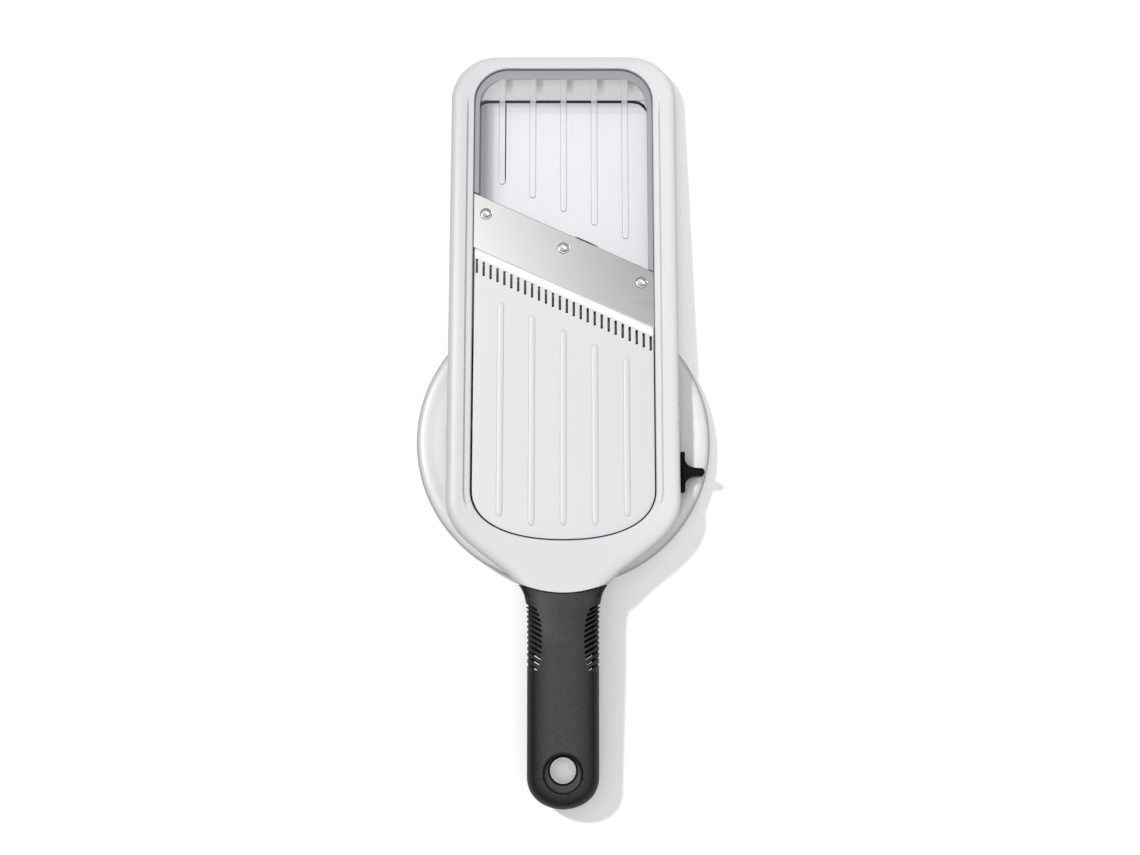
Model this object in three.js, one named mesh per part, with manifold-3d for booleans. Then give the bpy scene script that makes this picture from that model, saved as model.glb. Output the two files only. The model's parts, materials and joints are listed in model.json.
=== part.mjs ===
// Hand-held mandoline slicer with an adjustable feed table, a slanted blade, a julienne comb and a
// round food holder stored underneath. Millimetres, +Z up, handle toward -Y, thickness lever on +X.
//
// The pieces are drawn in a level working frame: x across, y toward the far end, z up from the widest
// line of the frame. The whole slicer is then tilted so that the foot under its far end and the palm
// pad of the stored holder both stand on the same surface, z = 0.

import * as THREE from 'three';
import { LoftGeometry } from 'three/addons/geometries/LoftGeometry.js';
import { mergeVertices } from 'three/addons/utils/BufferGeometryUtils.js';
import Module from 'manifold-3d';

const wasm = await Module();
wasm.setup();

// ---------------------------------------------------------------- driving dimensions (mm)

const GAP = 0.3;                 // clearance between neighbouring pieces
const ARC_STEPS = 10;            // segments in a quarter turn of an outline
const THROUGH = 60;              // cutters that go right through reach this far up and down

// frame
const BODY_WIDTH = 117.5;
const FAR_END_Y = 198.8;
const FAR_CORNER_R = 24;
const SIDE_END_Y = -38;          // where the straight sides end and the funnel begins
const NECK_Y = -78.2;            // where the funnel meets the handle
const NECK_HALF_WIDTH = 24.2;
const SIDE_RIM = 12.15;          // width of the side rims
const FAR_RIM = 7.9;             // width of the rim across the far end
const FAR_INNER_R = 18;
const RIM_TOP = 4.5;
const RIM_ROUND = 8.6;           // how far the rim's rounded shoulder reaches in
const RAIL_TOP = 3.4;            // the holder's rails, a step below the rim
const RAIL_WIDTH = 3.4;
const RAIL_START_Y = -37;
const RAIL_TO_FAR_END = 23.8;    // the rails stop this far short of the far end
const WALL_BOTTOM = -9.2;
const FAR_BOTTOM = -4.0;         // underside at the far end
const TAPER_START_Y = 74;        // the underside rises from here to the far end
const OUTER_WALL = 2.6;
const INNER_WALL = 2.4;
const RIM_SKIN_Z = 1.2;          // roof of the hollow under the rim

// feed channel
const CHANNEL_END_Y = -58.7;     // rounded handle end of the channel
const CHANNEL_ROUND = 25.7;      // how long that rounded end is
const DECK_Z = 1.6;              // top of the feed table and of the window
const GUIDE_PITCH = 16;          // between the guide ribs
const GUIDE_COUNT = 5;
const GUIDE_WIDTH = 3.2;
const GUIDE_HEIGHT = 0.7;

// window
const WINDOW_BOTTOM = -1.6;
const WINDOW_WALL = 2.7;
const WINDOW_FAR_WALL = 5.4;
const WINDOW_WALL_TOP = 3.2;
const WINDOW_SLOPE = 11.2;       // length of the slope up to the far wall
const GUIDE_TO_BLADE = 11.4;     // from a window rib's end to the blade's back edge

// blade
const BLADE_Y = 87;              // middle of the blade on the centre line
const BLADE_SLANT = 0.462;       // fall toward the handle per millimetre across
const BLADE_REACH = 29;          // its width measured along y
const BLADE_TOP = 2.0;
const BLADE_THICKNESS = 0.9;
const BLADE_BEVEL = 2.4;
const PIN_R = 2.7;
const PIN_HEAD_DROP = 0.25;      // pin faces sit this far below the blade's face
const PIN_X = 40;
const PIN_ABOVE_MIDDLE = 6.2;
const PIN_FOOT_Z = -6.2;

// feed table
const TABLE_THICKNESS = 2.0;
const TABLE_SIDE_GAP = 0.6;
const TABLE_END_GAP = 0.9;
const SLOT_COUNT = 26;
const SLOT_WIDTH = 1.0;
const SLOT_LENGTH = 7.5;
const SLOT_MARGIN = 2.1;         // first slot's middle from the channel wall
const LIP = 5.6;                 // sloped lip between the slots and the blade's edge
const LIP_DROP = 1.1;
const GUIDE_TO_SLOTS = 13;       // from the slots' middle line to the start of a table rib
const GUIDE_END_Y = -51;
const OUTER_GUIDE_END_Y = -46.6;

// tilt hinge of the feed table
const HINGE_Y = -50;
const HINGE_Z = -4.1;
const HINGE_PIN_R = 1.8;
const HINGE_PIN_HALF = 23;
const LUG_R = 2.9;
const LUG_X = 13;
const LUG_WIDTH = 4;
const POST_X = 19;
const POST_WIDTH = 4;
const WEB_THICKNESS = 1.8;

// thickness lever, wedge carriage and settings
const LEVER_Y = -22.9;
const LEVER_LENGTH = 20.5;
const LEVER_BASE = 2.4;
const LEVER_HEIGHT = 6.4;
const LEVER_FIN_REACH = 12.3;
const LEVER_FIN = 4;
const LEVER_TRAVEL = 30;
const TABLE_DROP_ANGLE = 1.5;    // degrees over the lever's whole travel
const FOOT_LENGTH = 5;           // of the table's feet, which stand on the wedges
const FOOT_BOTTOM = -2.8;
const RAIL_PIECE = 3.2;          // width of a carriage rail
const TRACK_Z = -7.6;            // top of the frame's ledges that the carriage slides on
const TRACK_WIDTH = 4.4;
const ARM_LENGTH = 8;
const BRIDGE_LENGTH = 4;
const ARM_LOW = -6.6;
const ARM_HIGH = -4.4;
const SCREW_R = 1.0;
const SCREW_HEAD_R = 1.7;

// julienne comb
const TOOTH_THICKNESS = 0.5;
const TOOTH_LENGTH = 6;
const TOOTH_TOP = -0.2;
const TOOTH_BOTTOM = -4.3;
const COMB_STRIP = 0.5;
const CARRIER_THICKNESS = 1;
const CARRIER_BACK = 7.4;        // how far the carrier reaches toward the handle
const CARRIER_PEG_X = 30;
const PEG_R = 1.2;

// handle
const HANDLE_END_Y = -189;
const HANDLE_HALF_WIDTH = 17.8;
const HANDLE_HALF_THICKNESS = 11.2;
const NECK_HALF_THICKNESS = 6.4;
const HANDLE_END_ROUND = 17;     // length of the handle's rounded end
const HANDLE_START_Z = -2.4;     // height of the handle's axis at the neck
const HANDLE_DROOP = 0.111;      // fall of the axis per millimetre
const SEAM_SIDE_Y = -78.5;       // the seam between neck and grip bows toward the handle
const SEAM_MIDDLE_Y = -84.6;
const TONGUE_HALF_WIDTH = 10;
const TONGUE_HALF_THICKNESS = 3.6;
const TONGUE_END_Y = -152;
const FIN_COUNT = 12;
const FIN_PITCH = 2.6;
const FIN_START_Y = -89.7;
const FIN_SLOT = 1.15;
const FIN_INNER_X = 10.8;
const FIN_SLANT = 6;             // the slots fall this much from their outer to their inner end
const FIN_WEB_HALF = 2.2;
const HANG_Y = -170.3;
const HANG_R = 6.25;
const EYELET_WALL = 1.1;
const RECESS_Y = -172.3;
const RECESS_R = 10.2;
const RECESS_DEPTH = 3.2;

// food holder
const HOLDER_UNDER_NECK = 1.8;   // how far the holder's rim reaches under the neck
const HOLDER_R = 75;
const HOLDER_RIM_Z = -9.7;
const HOLDER_DEPTH = 2.6;
const HOLDER_WALL = 1.8;
const HOLDER_SLOPE = 14;         // width of the sloping band inside the rim
const PAD_R = 17;
const PAD_DROP = 4.4;            // how far the palm pad stands below the dish
const PAD_SIDE = 1.2;            // height of its straight edge
const PRONG_PLATE_R = 21;
const PRONG_PLATE_THICKNESS = 1.6;
const PRONG_COUNT = 8;
const PRONG_RING_R = 16;
const PRONG_TOP = -7;
const PRONG_R = 1.3;
const CLIP_WIDTH = 1.8;
const CLIP_TOP = -3.6;
const CLIP_LENGTH = 12;

// foot under the far end
const TOE_HALF_WIDTH = 30;
const TOE_FROM_END = 12.8;       // from the far end to the foot's middle
const TOE_LENGTH = 10;
const TOE_DROP = 2.0;

// ---------------------------------------------------------------- sizes worked out from these

const bodyHalf = BODY_WIDTH / 2;
const channelHalf = bodyHalf - SIDE_RIM;
const channelFarY = FAR_END_Y - FAR_RIM;
const bladeFrontY = BLADE_Y - BLADE_REACH / 2;
const bladeBackY = BLADE_Y + BLADE_REACH / 2;
const holderY = NECK_Y - HOLDER_UNDER_NECK + HOLDER_R;
const toeY = FAR_END_Y - TOE_FROM_END;
const footY = CHANNEL_END_Y + CHANNEL_ROUND + 0.5 + LEVER_TRAVEL + FOOT_LENGTH / 2;
const slotsY = bladeFrontY - LIP - SLOT_LENGTH / 2;
const slotSpan = 2 * (channelHalf - SLOT_MARGIN);
const tableHalf = channelHalf - TABLE_SIDE_GAP;
const tableBottom = DECK_Z - TABLE_THICKNESS;
const dropAngle = THREE.MathUtils.degToRad(TABLE_DROP_ANGLE);
const wedgeSlope = (footY - HINGE_Y) * Math.tan(dropAngle) / LEVER_TRAVEL;
const wedgeTop = FOOT_BOTTOM - GAP;
const railBackY = footY - FOOT_LENGTH / 2 - LEVER_TRAVEL - 1;
const railX = channelHalf - GAP - RAIL_PIECE / 2 - 0.1;
const dishFloor = HOLDER_RIM_Z - HOLDER_DEPTH;
const dishBottom = dishFloor - HOLDER_WALL;
const padLow = dishBottom - PAD_DROP;
const padDome = PAD_DROP - PAD_SIDE;
const padBall = (PAD_R ** 2 + padDome ** 2) / (2 * padDome);
const farSlope = (FAR_BOTTOM - WALL_BOTTOM) / (FAR_END_Y - TAPER_START_Y);

const slotPitch = slotSpan / (SLOT_COUNT - 1);
const panelScrewX = 38.5;
const panelScrewY = channelFarY - WINDOW_FAR_WALL - 3;
const combScrewX = 5 * slotPitch;       // midway between two teeth
const armMiddle = (ARM_LOW + ARM_HIGH) / 2;
const hollowMiddle = (channelHalf + INNER_WALL + bodyHalf - OUTER_WALL) / 2;

const slantAt = (x) => -BLADE_SLANT * x;
const bottomAt = (y) => WALL_BOTTOM + Math.max(0, y - TAPER_START_Y) * farSlope;
const axisZ = (y) => HANDLE_START_Z + (y - NECK_Y) * HANDLE_DROOP;
const combScrewY = (side) => slotsY + slantAt(side * combScrewX);
const carrierPegY = (x) => slotsY + slantAt(x) - TOOTH_LENGTH / 2 - 2.3;

// ---------------------------------------------------------------- materials

const finish = (color, roughness, metalness = 0) =>
  new THREE.MeshStandardMaterial({ color, roughness, metalness });

const whitePlastic = finish(0xeeeeef, 0.3);
const blackPlastic = finish(0x1c1c1c, 0.4);
const softBlack = finish(0x3b3b3a, 0.62);
const steel = finish(0xc9c8c4, 0.32, 1);
const polishedSteel = finish(0xe2e2e0, 0.12, 1);
const greyPlastic = finish(0xc4c6c8, 0.4);
const clearPlastic = finish(0xe9e8f2, 0.08);
clearPlastic.transparent = true;
clearPlastic.opacity = 0.35;

// ---------------------------------------------------------------- solids and placing

// A closed geometry as a solid: shared vertices merged, faces pointing out.
function solid(geometry) {
  geometry.deleteAttribute('normal');
  geometry.deleteAttribute('uv');
  const merged = mergeVertices(new THREE.BufferGeometry().copy(geometry), 1e-4);
  const points = merged.getAttribute('position').array;
  const corners = merged.getIndex().array;
  const kept = [];
  for (let i = 0; i < corners.length; i += 3) {
    const [a, b, c] = [corners[i], corners[i + 1], corners[i + 2]];
    if (a !== b && b !== c && c !== a) kept.push(a, b, c);
  }
  if (signedVolume(points, kept) < 0) {
    for (let i = 0; i < kept.length; i += 3) {
      [kept[i + 1], kept[i + 2]] = [kept[i + 2], kept[i + 1]];
    }
  }
  return new wasm.Manifold(new wasm.Mesh({
    numProp: 3,
    vertProperties: new Float32Array(points),
    triVerts: new Uint32Array(kept),
  }));
}

function signedVolume(points, corners) {
  const [a, b, c] = [new THREE.Vector3(), new THREE.Vector3(), new THREE.Vector3()];
  let total = 0;
  for (let i = 0; i < corners.length; i += 3) {
    a.fromArray(points, corners[i] * 3);
    b.fromArray(points, corners[i + 1] * 3);
    c.fromArray(points, corners[i + 2] * 3);
    total += a.dot(b.cross(c));
  }
  return total;
}

function piece(name, shape, material) {
  const result = shape.getMesh();
  const geometry = new THREE.BufferGeometry();
  geometry.setAttribute('position', new THREE.BufferAttribute(result.vertProperties, 3));
  geometry.setIndex(new THREE.BufferAttribute(result.triVerts, 1));
  geometry.computeVertexNormals();
  const mesh = new THREE.Mesh(geometry, material);
  mesh.name = name;
  return mesh;
}

// A plan outline made into a plate between two heights.
function plate(outline, low, high) {
  const geometry = new THREE.ExtrudeGeometry(new THREE.Shape(outline), {
    depth: high - low,
    bevelEnabled: false,
  });
  geometry.translate(0, 0, low);
  return solid(geometry);
}

// A side outline, as (y, z) points, run across from one x to another.
function across(outline, fromX, toX) {
  const geometry = new THREE.ExtrudeGeometry(new THREE.Shape(outline), {
    depth: toX - fromX,
    bevelEnabled: false,
  });
  geometry.applyMatrix4(new THREE.Matrix4().makeBasis(
    new THREE.Vector3(0, 1, 0), new THREE.Vector3(0, 0, 1), new THREE.Vector3(1, 0, 0)));
  geometry.translate(fromX, 0, 0);
  return solid(geometry);
}

function box(lowX, highX, lowY, highY, lowZ, highZ) {
  const geometry = new THREE.BoxGeometry(highX - lowX, highY - lowY, highZ - lowZ);
  geometry.translate((lowX + highX) / 2, (lowY + highY) / 2, (lowZ + highZ) / 2);
  return solid(geometry);
}

function upright(x, y, lowZ, highZ, r, topR = r, sides = 24) {
  const geometry = new THREE.CylinderGeometry(topR, r, highZ - lowZ, sides);
  geometry.rotateX(Math.PI / 2);
  geometry.translate(x, y, (lowZ + highZ) / 2);
  return solid(geometry);
}

// A round cutter that goes right through, up and down.
function drill(x, y, r, sides = 24) {
  return upright(x, y, -THROUGH, THROUGH, r, r, sides);
}

function crosswise(lowX, highX, y, z, r, sides = 20) {
  const geometry = new THREE.CylinderGeometry(r, r, highX - lowX, sides);
  geometry.rotateZ(Math.PI / 2);
  geometry.translate((lowX + highX) / 2, y, z);
  return solid(geometry);
}

function join(first, ...others) {
  return others.reduce((sum, next) => sum.add(next), first);
}

function cut(first, ...others) {
  return others.reduce((rest, next) => rest.subtract(next), first);
}

const at = (x, y) => new THREE.Vector2(x, y);

// Points along a quarter arc from angle a to angle b about a centre.
function arc(cx, cy, r, a, b, steps = ARC_STEPS) {
  const points = [];
  for (let i = 0; i <= steps; i++) {
    const angle = a + (b - a) * i / steps;
    points.push(at(cx + r * Math.cos(angle), cy + r * Math.sin(angle)));
  }
  return points;
}

// A whole outline from its right half. Points on the centre line are not repeated.
function mirrored(right) {
  const left = right.filter((p) => p.x > 1e-6).reverse().map((p) => at(-p.x, p.y));
  return [...right, ...left];
}

// An outline moved inward by a distance, with mitred corners. It runs anticlockwise.
function inset(outline, distance) {
  return outline.map((p, i) => {
    const before = p.clone().sub(outline[(i + outline.length - 1) % outline.length]).normalize();
    const after = outline[(i + 1) % outline.length].clone().sub(p).normalize();
    const reach = distance / (1 + before.dot(after));
    return at(p.x - (before.y + after.y) * reach, p.y + (before.x + after.x) * reach);
  });
}

// ---------------------------------------------------------------- shared outlines

// Half of the funnel: from under the grip, past the neck, and on a curve to the straight side.
function funnelPoints() {
  const curve = new THREE.CubicBezierCurve(
    at(NECK_HALF_WIDTH, NECK_Y),
    at(NECK_HALF_WIDTH + 9.5, NECK_Y + 10.3),
    at(bodyHalf, SIDE_END_Y - 19),
    at(bodyHalf, SIDE_END_Y));
  const underGrip = [20, 14, 9, 5, 2]
    .map((past) => at(handleSection(NECK_Y - past).halfWidth, NECK_Y - past));
  return [...underGrip, ...curve.getPoints(2 * ARC_STEPS)];
}

function bodyOutline() {
  const cornerY = FAR_END_Y - FAR_CORNER_R;
  return mirrored([
    ...funnelPoints(),
    ...arc(bodyHalf - FAR_CORNER_R, cornerY, FAR_CORNER_R, 0, Math.PI / 2),
  ]);
}

// The channel's plan, grown outward by a distance.
function channelOutline(grow = 0) {
  const half = channelHalf + grow;
  const endY = CHANNEL_END_Y - grow;
  const straightY = CHANNEL_END_Y + CHANNEL_ROUND;
  const farY = channelFarY + grow;
  const r = FAR_INNER_R + grow;
  const round = new THREE.CubicBezierCurve(
    at(0, endY),
    at(half * 0.6, endY),
    at(half, endY + CHANNEL_ROUND * 0.34),
    at(half, straightY));
  return mirrored([
    ...round.getPoints(2 * ARC_STEPS),
    ...arc(half - r, farY - r, r, 0, Math.PI / 2),
  ]);
}

// A slanted strip across the channel, parallel to the blade.
function slantedStrip(halfWidth, nearY, farY) {
  return [
    at(-halfWidth, nearY + slantAt(-halfWidth)),
    at(halfWidth, nearY + slantAt(halfWidth)),
    at(halfWidth, farY + slantAt(halfWidth)),
    at(-halfWidth, farY + slantAt(-halfWidth)),
  ];
}

// A bar that runs straight across, sheared to run along the blade.
function alongBlade(shape) {
  return shape.transform([
    1, -BLADE_SLANT, 0, 0,
    0, 1, 0, 0,
    0, 0, 1, 0,
    0, 0, 0, 1,
  ]);
}

function handleSection(y) {
  const past = NECK_Y - y;
  const settle = 1 - Math.exp(-Math.max(0, past) / 5);
  const grow = THREE.MathUtils.smoothstep(past, 0, 32);
  const endSpan = HANDLE_HALF_WIDTH * 0.92;
  const toEnd = THREE.MathUtils.clamp((y - HANDLE_END_Y) / endSpan, 0, 1);
  const round = Math.sqrt(1 - (1 - toEnd) ** 2.3);
  return {
    halfWidth: THREE.MathUtils.lerp(NECK_HALF_WIDTH, HANDLE_HALF_WIDTH, settle) * round,
    halfThickness: THREE.MathUtils.lerp(NECK_HALF_THICKNESS, HANDLE_HALF_THICKNESS, grow)
      * Math.max(0.3, round ** 0.7),
    middle: axisZ(y),
  };
}

function sectionRing(y, halfWidth, halfThickness, middle, sides = 24, power = 2.3) {
  const ring = [];
  for (let i = 0; i < sides; i++) {
    const angle = i / sides * 2 * Math.PI;
    const c = Math.cos(angle);
    const s = Math.sin(angle);
    ring.push(new THREE.Vector3(
      halfWidth * Math.sign(c) * Math.abs(c) ** (2 / power),
      y,
      middle + halfThickness * Math.sign(s) * Math.abs(s) ** (2 / power)));
  }
  return ring;
}

function loft(rings) {
  return solid(new LoftGeometry(rings, { closed: true, capStart: true, capEnd: true }));
}

// The region on the handle's side of the bowed seam.
function beyondSeam(shift = 0) {
  const reach = NECK_HALF_WIDTH + 4;
  const end = SEAM_SIDE_Y + (SEAM_SIDE_Y - SEAM_MIDDLE_Y) * 0.3 - shift;
  const bow = new THREE.QuadraticBezierCurve(
    at(-reach, end),
    at(0, 2 * (SEAM_MIDDLE_Y - shift) - end),
    at(reach, end));
  const past = HANDLE_END_Y - 20;
  const outline = [at(-reach, past), at(reach, past), ...bow.getPoints(2 * ARC_STEPS).reverse()];
  return plate(outline, -THROUGH, THROUGH);
}

// ---------------------------------------------------------------- frame

function frameBlock() {
  const outline = bodyOutline();
  const rings = [outline.map((p) => new THREE.Vector3(p.x, p.y, WALL_BOTTOM))];
  const steps = 6;
  for (let i = 0; i <= steps; i++) {
    const angle = i / steps * Math.PI / 2;
    const level = inset(outline, RIM_ROUND * (1 - Math.cos(angle)));
    rings.push(level.map((p) => new THREE.Vector3(p.x, p.y, RIM_TOP * Math.sin(angle))));
  }
  return cut(loft(rings), beyondSeam());
}

function neckBlock() {
  const rings = [];
  const steps = 10;
  for (let i = 0; i <= steps; i++) {
    const y = THREE.MathUtils.lerp(CHANNEL_END_Y - INNER_WALL - 1, SEAM_MIDDLE_Y - 3.4, i / steps);
    const section = handleSection(y);
    const funnelHalf = y > NECK_Y ? NECK_HALF_WIDTH + (y - NECK_Y) * 0.9 : section.halfWidth;
    rings.push(sectionRing(y, funnelHalf, section.halfThickness, section.middle));
  }
  return cut(loft(rings), beyondSeam());
}

function tongue(grow = 0) {
  return loft([NECK_Y + 2, TONGUE_END_Y - grow].map((y) =>
    sectionRing(y, TONGUE_HALF_WIDTH + grow, TONGUE_HALF_THICKNESS + grow, axisZ(y), 20, 3)));
}

function farTrim() {
  return across([
    at(TAPER_START_Y, WALL_BOTTOM),
    at(TAPER_START_Y, WALL_BOTTOM - 5),
    at(FAR_END_Y + 5, WALL_BOTTOM - 5),
    at(FAR_END_Y + 5, bottomAt(FAR_END_Y + 5)),
  ], -bodyHalf - 5, bodyHalf + 5);
}

function underRimHollow() {
  const outside = plate(inset(bodyOutline(), OUTER_WALL), WALL_BOTTOM - 2, RIM_SKIN_Z);
  const inside = plate(channelOutline(INNER_WALL), WALL_BOTTOM - 4, RIM_SKIN_Z + 2);
  const neck = box(-bodyHalf, bodyHalf, NECK_Y - 10, CHANNEL_END_Y - INNER_WALL - 0.1,
    WALL_BOTTOM - 4, RIM_TOP);
  return cut(outside, inside, neck);
}

function holderRails() {
  const strip = plate(channelOutline(RAIL_WIDTH), RAIL_TOP, RIM_TOP + 2);
  const sides = box(-bodyHalf, bodyHalf, RAIL_START_Y, FAR_END_Y - RAIL_TO_FAR_END,
    RAIL_TOP - 1, RIM_TOP + 3);
  return strip.intersect(sides);
}

function leverSlot() {
  const low = LEVER_Y - ARM_LENGTH / 2 - 2 * GAP;
  const high = LEVER_Y + LEVER_TRAVEL + ARM_LENGTH / 2 + 2 * GAP;
  return box(channelHalf - 3, bodyHalf + 2, low, high, ARM_LOW - GAP, ARM_HIGH + GAP);
}

// Ledges that carry the window: one across the far end and a seat under each outer blade pin.
function windowLedges() {
  const seat = plate(channelOutline(0.4), bottomAt(channelFarY) + 0.1, WINDOW_BOTTOM - GAP);
  const far = seat.intersect(box(-bodyHalf, bodyHalf, channelFarY - WINDOW_SLOPE - WINDOW_FAR_WALL,
    channelFarY + 1, -10, 5));
  const ledges = [far];
  for (const side of [-1, 1]) {
    const y = BLADE_Y + PIN_ABOVE_MIDDLE + slantAt(side * PIN_X);
    const inner = side * (PIN_X - PIN_R - 2.3);
    const outer = side * (channelHalf + 0.5);
    ledges.push(box(Math.min(inner, outer), Math.max(inner, outer), y - 7, y + 7, PIN_FOOT_Z + 1,
      WINDOW_BOTTOM - GAP));
  }
  return join(...ledges);
}

// The floor of the channel's handle end, with the two posts that hold the hinge pin.
function hingeWeb() {
  const floor = plate(channelOutline(0.4), WALL_BOTTOM, WALL_BOTTOM + WEB_THICKNESS)
    .intersect(box(-bodyHalf, bodyHalf, CHANNEL_END_Y - 2, HINGE_Y + 9, -20, 5));
  const posts = [-1, 1].map((side) => {
    const x = side * POST_X;
    return box(x - POST_WIDTH / 2, x + POST_WIDTH / 2, HINGE_Y - 3.4, HINGE_Y + 3.4,
      WALL_BOTTOM + WEB_THICKNESS - 0.2, HINGE_Z + 3.2);
  });
  return join(floor, ...posts);
}

function carriageTracks() {
  const tracks = [-1, 1].map((side) => {
    const inner = side * (channelHalf - TRACK_WIDTH);
    const outer = side * (channelHalf + 0.5);
    return box(Math.min(inner, outer), Math.max(inner, outer), railBackY - 1,
      footY + FOOT_LENGTH / 2 + LEVER_TRAVEL + 1, WALL_BOTTOM, TRACK_Z);
  });
  return join(...tracks);
}

function pinPlaces() {
  return [-1, 0, 1].map((side) => ({
    x: side * PIN_X,
    y: BLADE_Y + PIN_ABOVE_MIDDLE + slantAt(side * PIN_X),
  }));
}

function frameShell() {
  const channel = plate(channelOutline(), -30, 20);
  const shell = cut(frameBlock(), farTrim(), channel, underRimHollow(), holderRails());
  const full = join(shell, neckBlock(), tongue(), windowLedges(), hingeWeb(), carriageTracks());
  const holes = [
    leverSlot(),
    crosswise(-POST_X - POST_WIDTH, POST_X + POST_WIDTH, HINGE_Y, HINGE_Z, HINGE_PIN_R + GAP),
  ];
  for (const place of pinPlaces()) holes.push(drill(place.x, place.y, PIN_R + GAP));
  for (const side of [-1, 1]) {
    holes.push(drill(side * panelScrewX, panelScrewY, SCREW_R + GAP, 12));
  }
  return cut(full, ...holes);
}

// ---------------------------------------------------------------- window and blade

function guideRib(x, nearY, farY, z) {
  const geometry = new THREE.CapsuleGeometry(GUIDE_WIDTH / 2, farY - nearY - GUIDE_WIDTH, 3, 12);
  geometry.scale(1, 1, 2 * GUIDE_HEIGHT / GUIDE_WIDTH);
  geometry.translate(x, (nearY + farY) / 2, z);
  return solid(geometry);
}

const guideXs = Array.from({ length: GUIDE_COUNT }, (_, i) => (i - (GUIDE_COUNT - 1) / 2) * GUIDE_PITCH);

function windowPanel() {
  const outline = channelOutline(-GAP);
  const farSide = plate(slantedStrip(bodyHalf, bladeFrontY + LIP + 2, FAR_END_Y + 80), -10, 10);
  const behindBlade = plate(slantedStrip(bodyHalf, bladeBackY + GAP, FAR_END_Y + 80), -10, 10);
  const base = plate(outline, WINDOW_BOTTOM, DECK_Z).intersect(farSide);
  const recess = plate(slantedStrip(bodyHalf, bladeFrontY - 5, bladeBackY + GAP),
    BLADE_TOP - BLADE_THICKNESS - GAP, 10);
  const wallHeight = plate(outline, DECK_Z - 0.5, WINDOW_WALL_TOP);
  const innerHalf = channelHalf - GAP - WINDOW_WALL;
  const innerFar = channelFarY - GAP - WINDOW_FAR_WALL;
  const r = FAR_INNER_R - 4;
  const opening = plate(mirrored([
    at(innerHalf, -50),
    ...arc(innerHalf - r, innerFar - r, r, 0, Math.PI / 2),
  ]), DECK_Z - 2, WINDOW_WALL_TOP + 2);
  const walls = cut(wallHeight, opening).intersect(behindBlade);
  const slope = across([
    at(innerFar - WINDOW_SLOPE, DECK_Z - 0.2),
    at(innerFar + 0.5, DECK_Z - 0.2),
    at(innerFar + 0.5, WINDOW_WALL_TOP - 0.3),
    at(innerFar - WINDOW_SLOPE + 1, DECK_Z + 0.1),
  ], -innerHalf - 0.5, innerHalf + 0.5).intersect(wallHeight);
  const ribs = guideXs.map((x) =>
    guideRib(x, bladeBackY + slantAt(x) + GUIDE_TO_BLADE, innerFar - 4, DECK_Z));
  const holes = pinPlaces().map((place) => drill(place.x, place.y, PIN_R + GAP));
  for (const side of [-1, 1]) {
    holes.push(upright(side * panelScrewX, panelScrewY, WINDOW_BOTTOM - 1, DECK_Z - 0.8,
      SCREW_R + GAP, SCREW_R + GAP, 12));
  }
  return cut(join(cut(base, recess), walls, slope, ...ribs), ...holes);
}

function slicingBlade() {
  const half = channelHalf - GAP;
  const low = BLADE_TOP - BLADE_THICKNESS;
  const body = plate(slantedStrip(half, bladeFrontY, bladeBackY), low, BLADE_TOP);
  const grind = alongBlade(across([
    at(bladeFrontY - 3, low - 1),
    at(bladeFrontY + BLADE_BEVEL, low - 1),
    at(bladeFrontY + BLADE_BEVEL, low),
    at(bladeFrontY - 0.4, BLADE_TOP - 0.15),
    at(bladeFrontY - 3, BLADE_TOP - 0.15),
  ], -bodyHalf, bodyHalf));
  const holes = pinPlaces().map((place) => drill(place.x, place.y, PIN_R + GAP));
  return cut(body, grind, ...holes);
}

function bladePin(place) {
  return upright(place.x, place.y, PIN_FOOT_Z, BLADE_TOP - PIN_HEAD_DROP, PIN_R);
}

function panelScrew(side) {
  const x = side * panelScrewX;
  const seat = bottomAt(channelFarY) + 0.1;
  const head = upright(x, panelScrewY, seat - GAP - 1.2, seat - GAP, SCREW_HEAD_R, SCREW_HEAD_R, 16);
  const shank = upright(x, panelScrewY, seat - GAP - 0.6, DECK_Z - 1.2, SCREW_R, SCREW_R, 12);
  return join(head, shank);
}

// ---------------------------------------------------------------- feed table

function slotXs() {
  return Array.from({ length: SLOT_COUNT }, (_, i) => -slotSpan / 2 + slotPitch * i);
}

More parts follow.
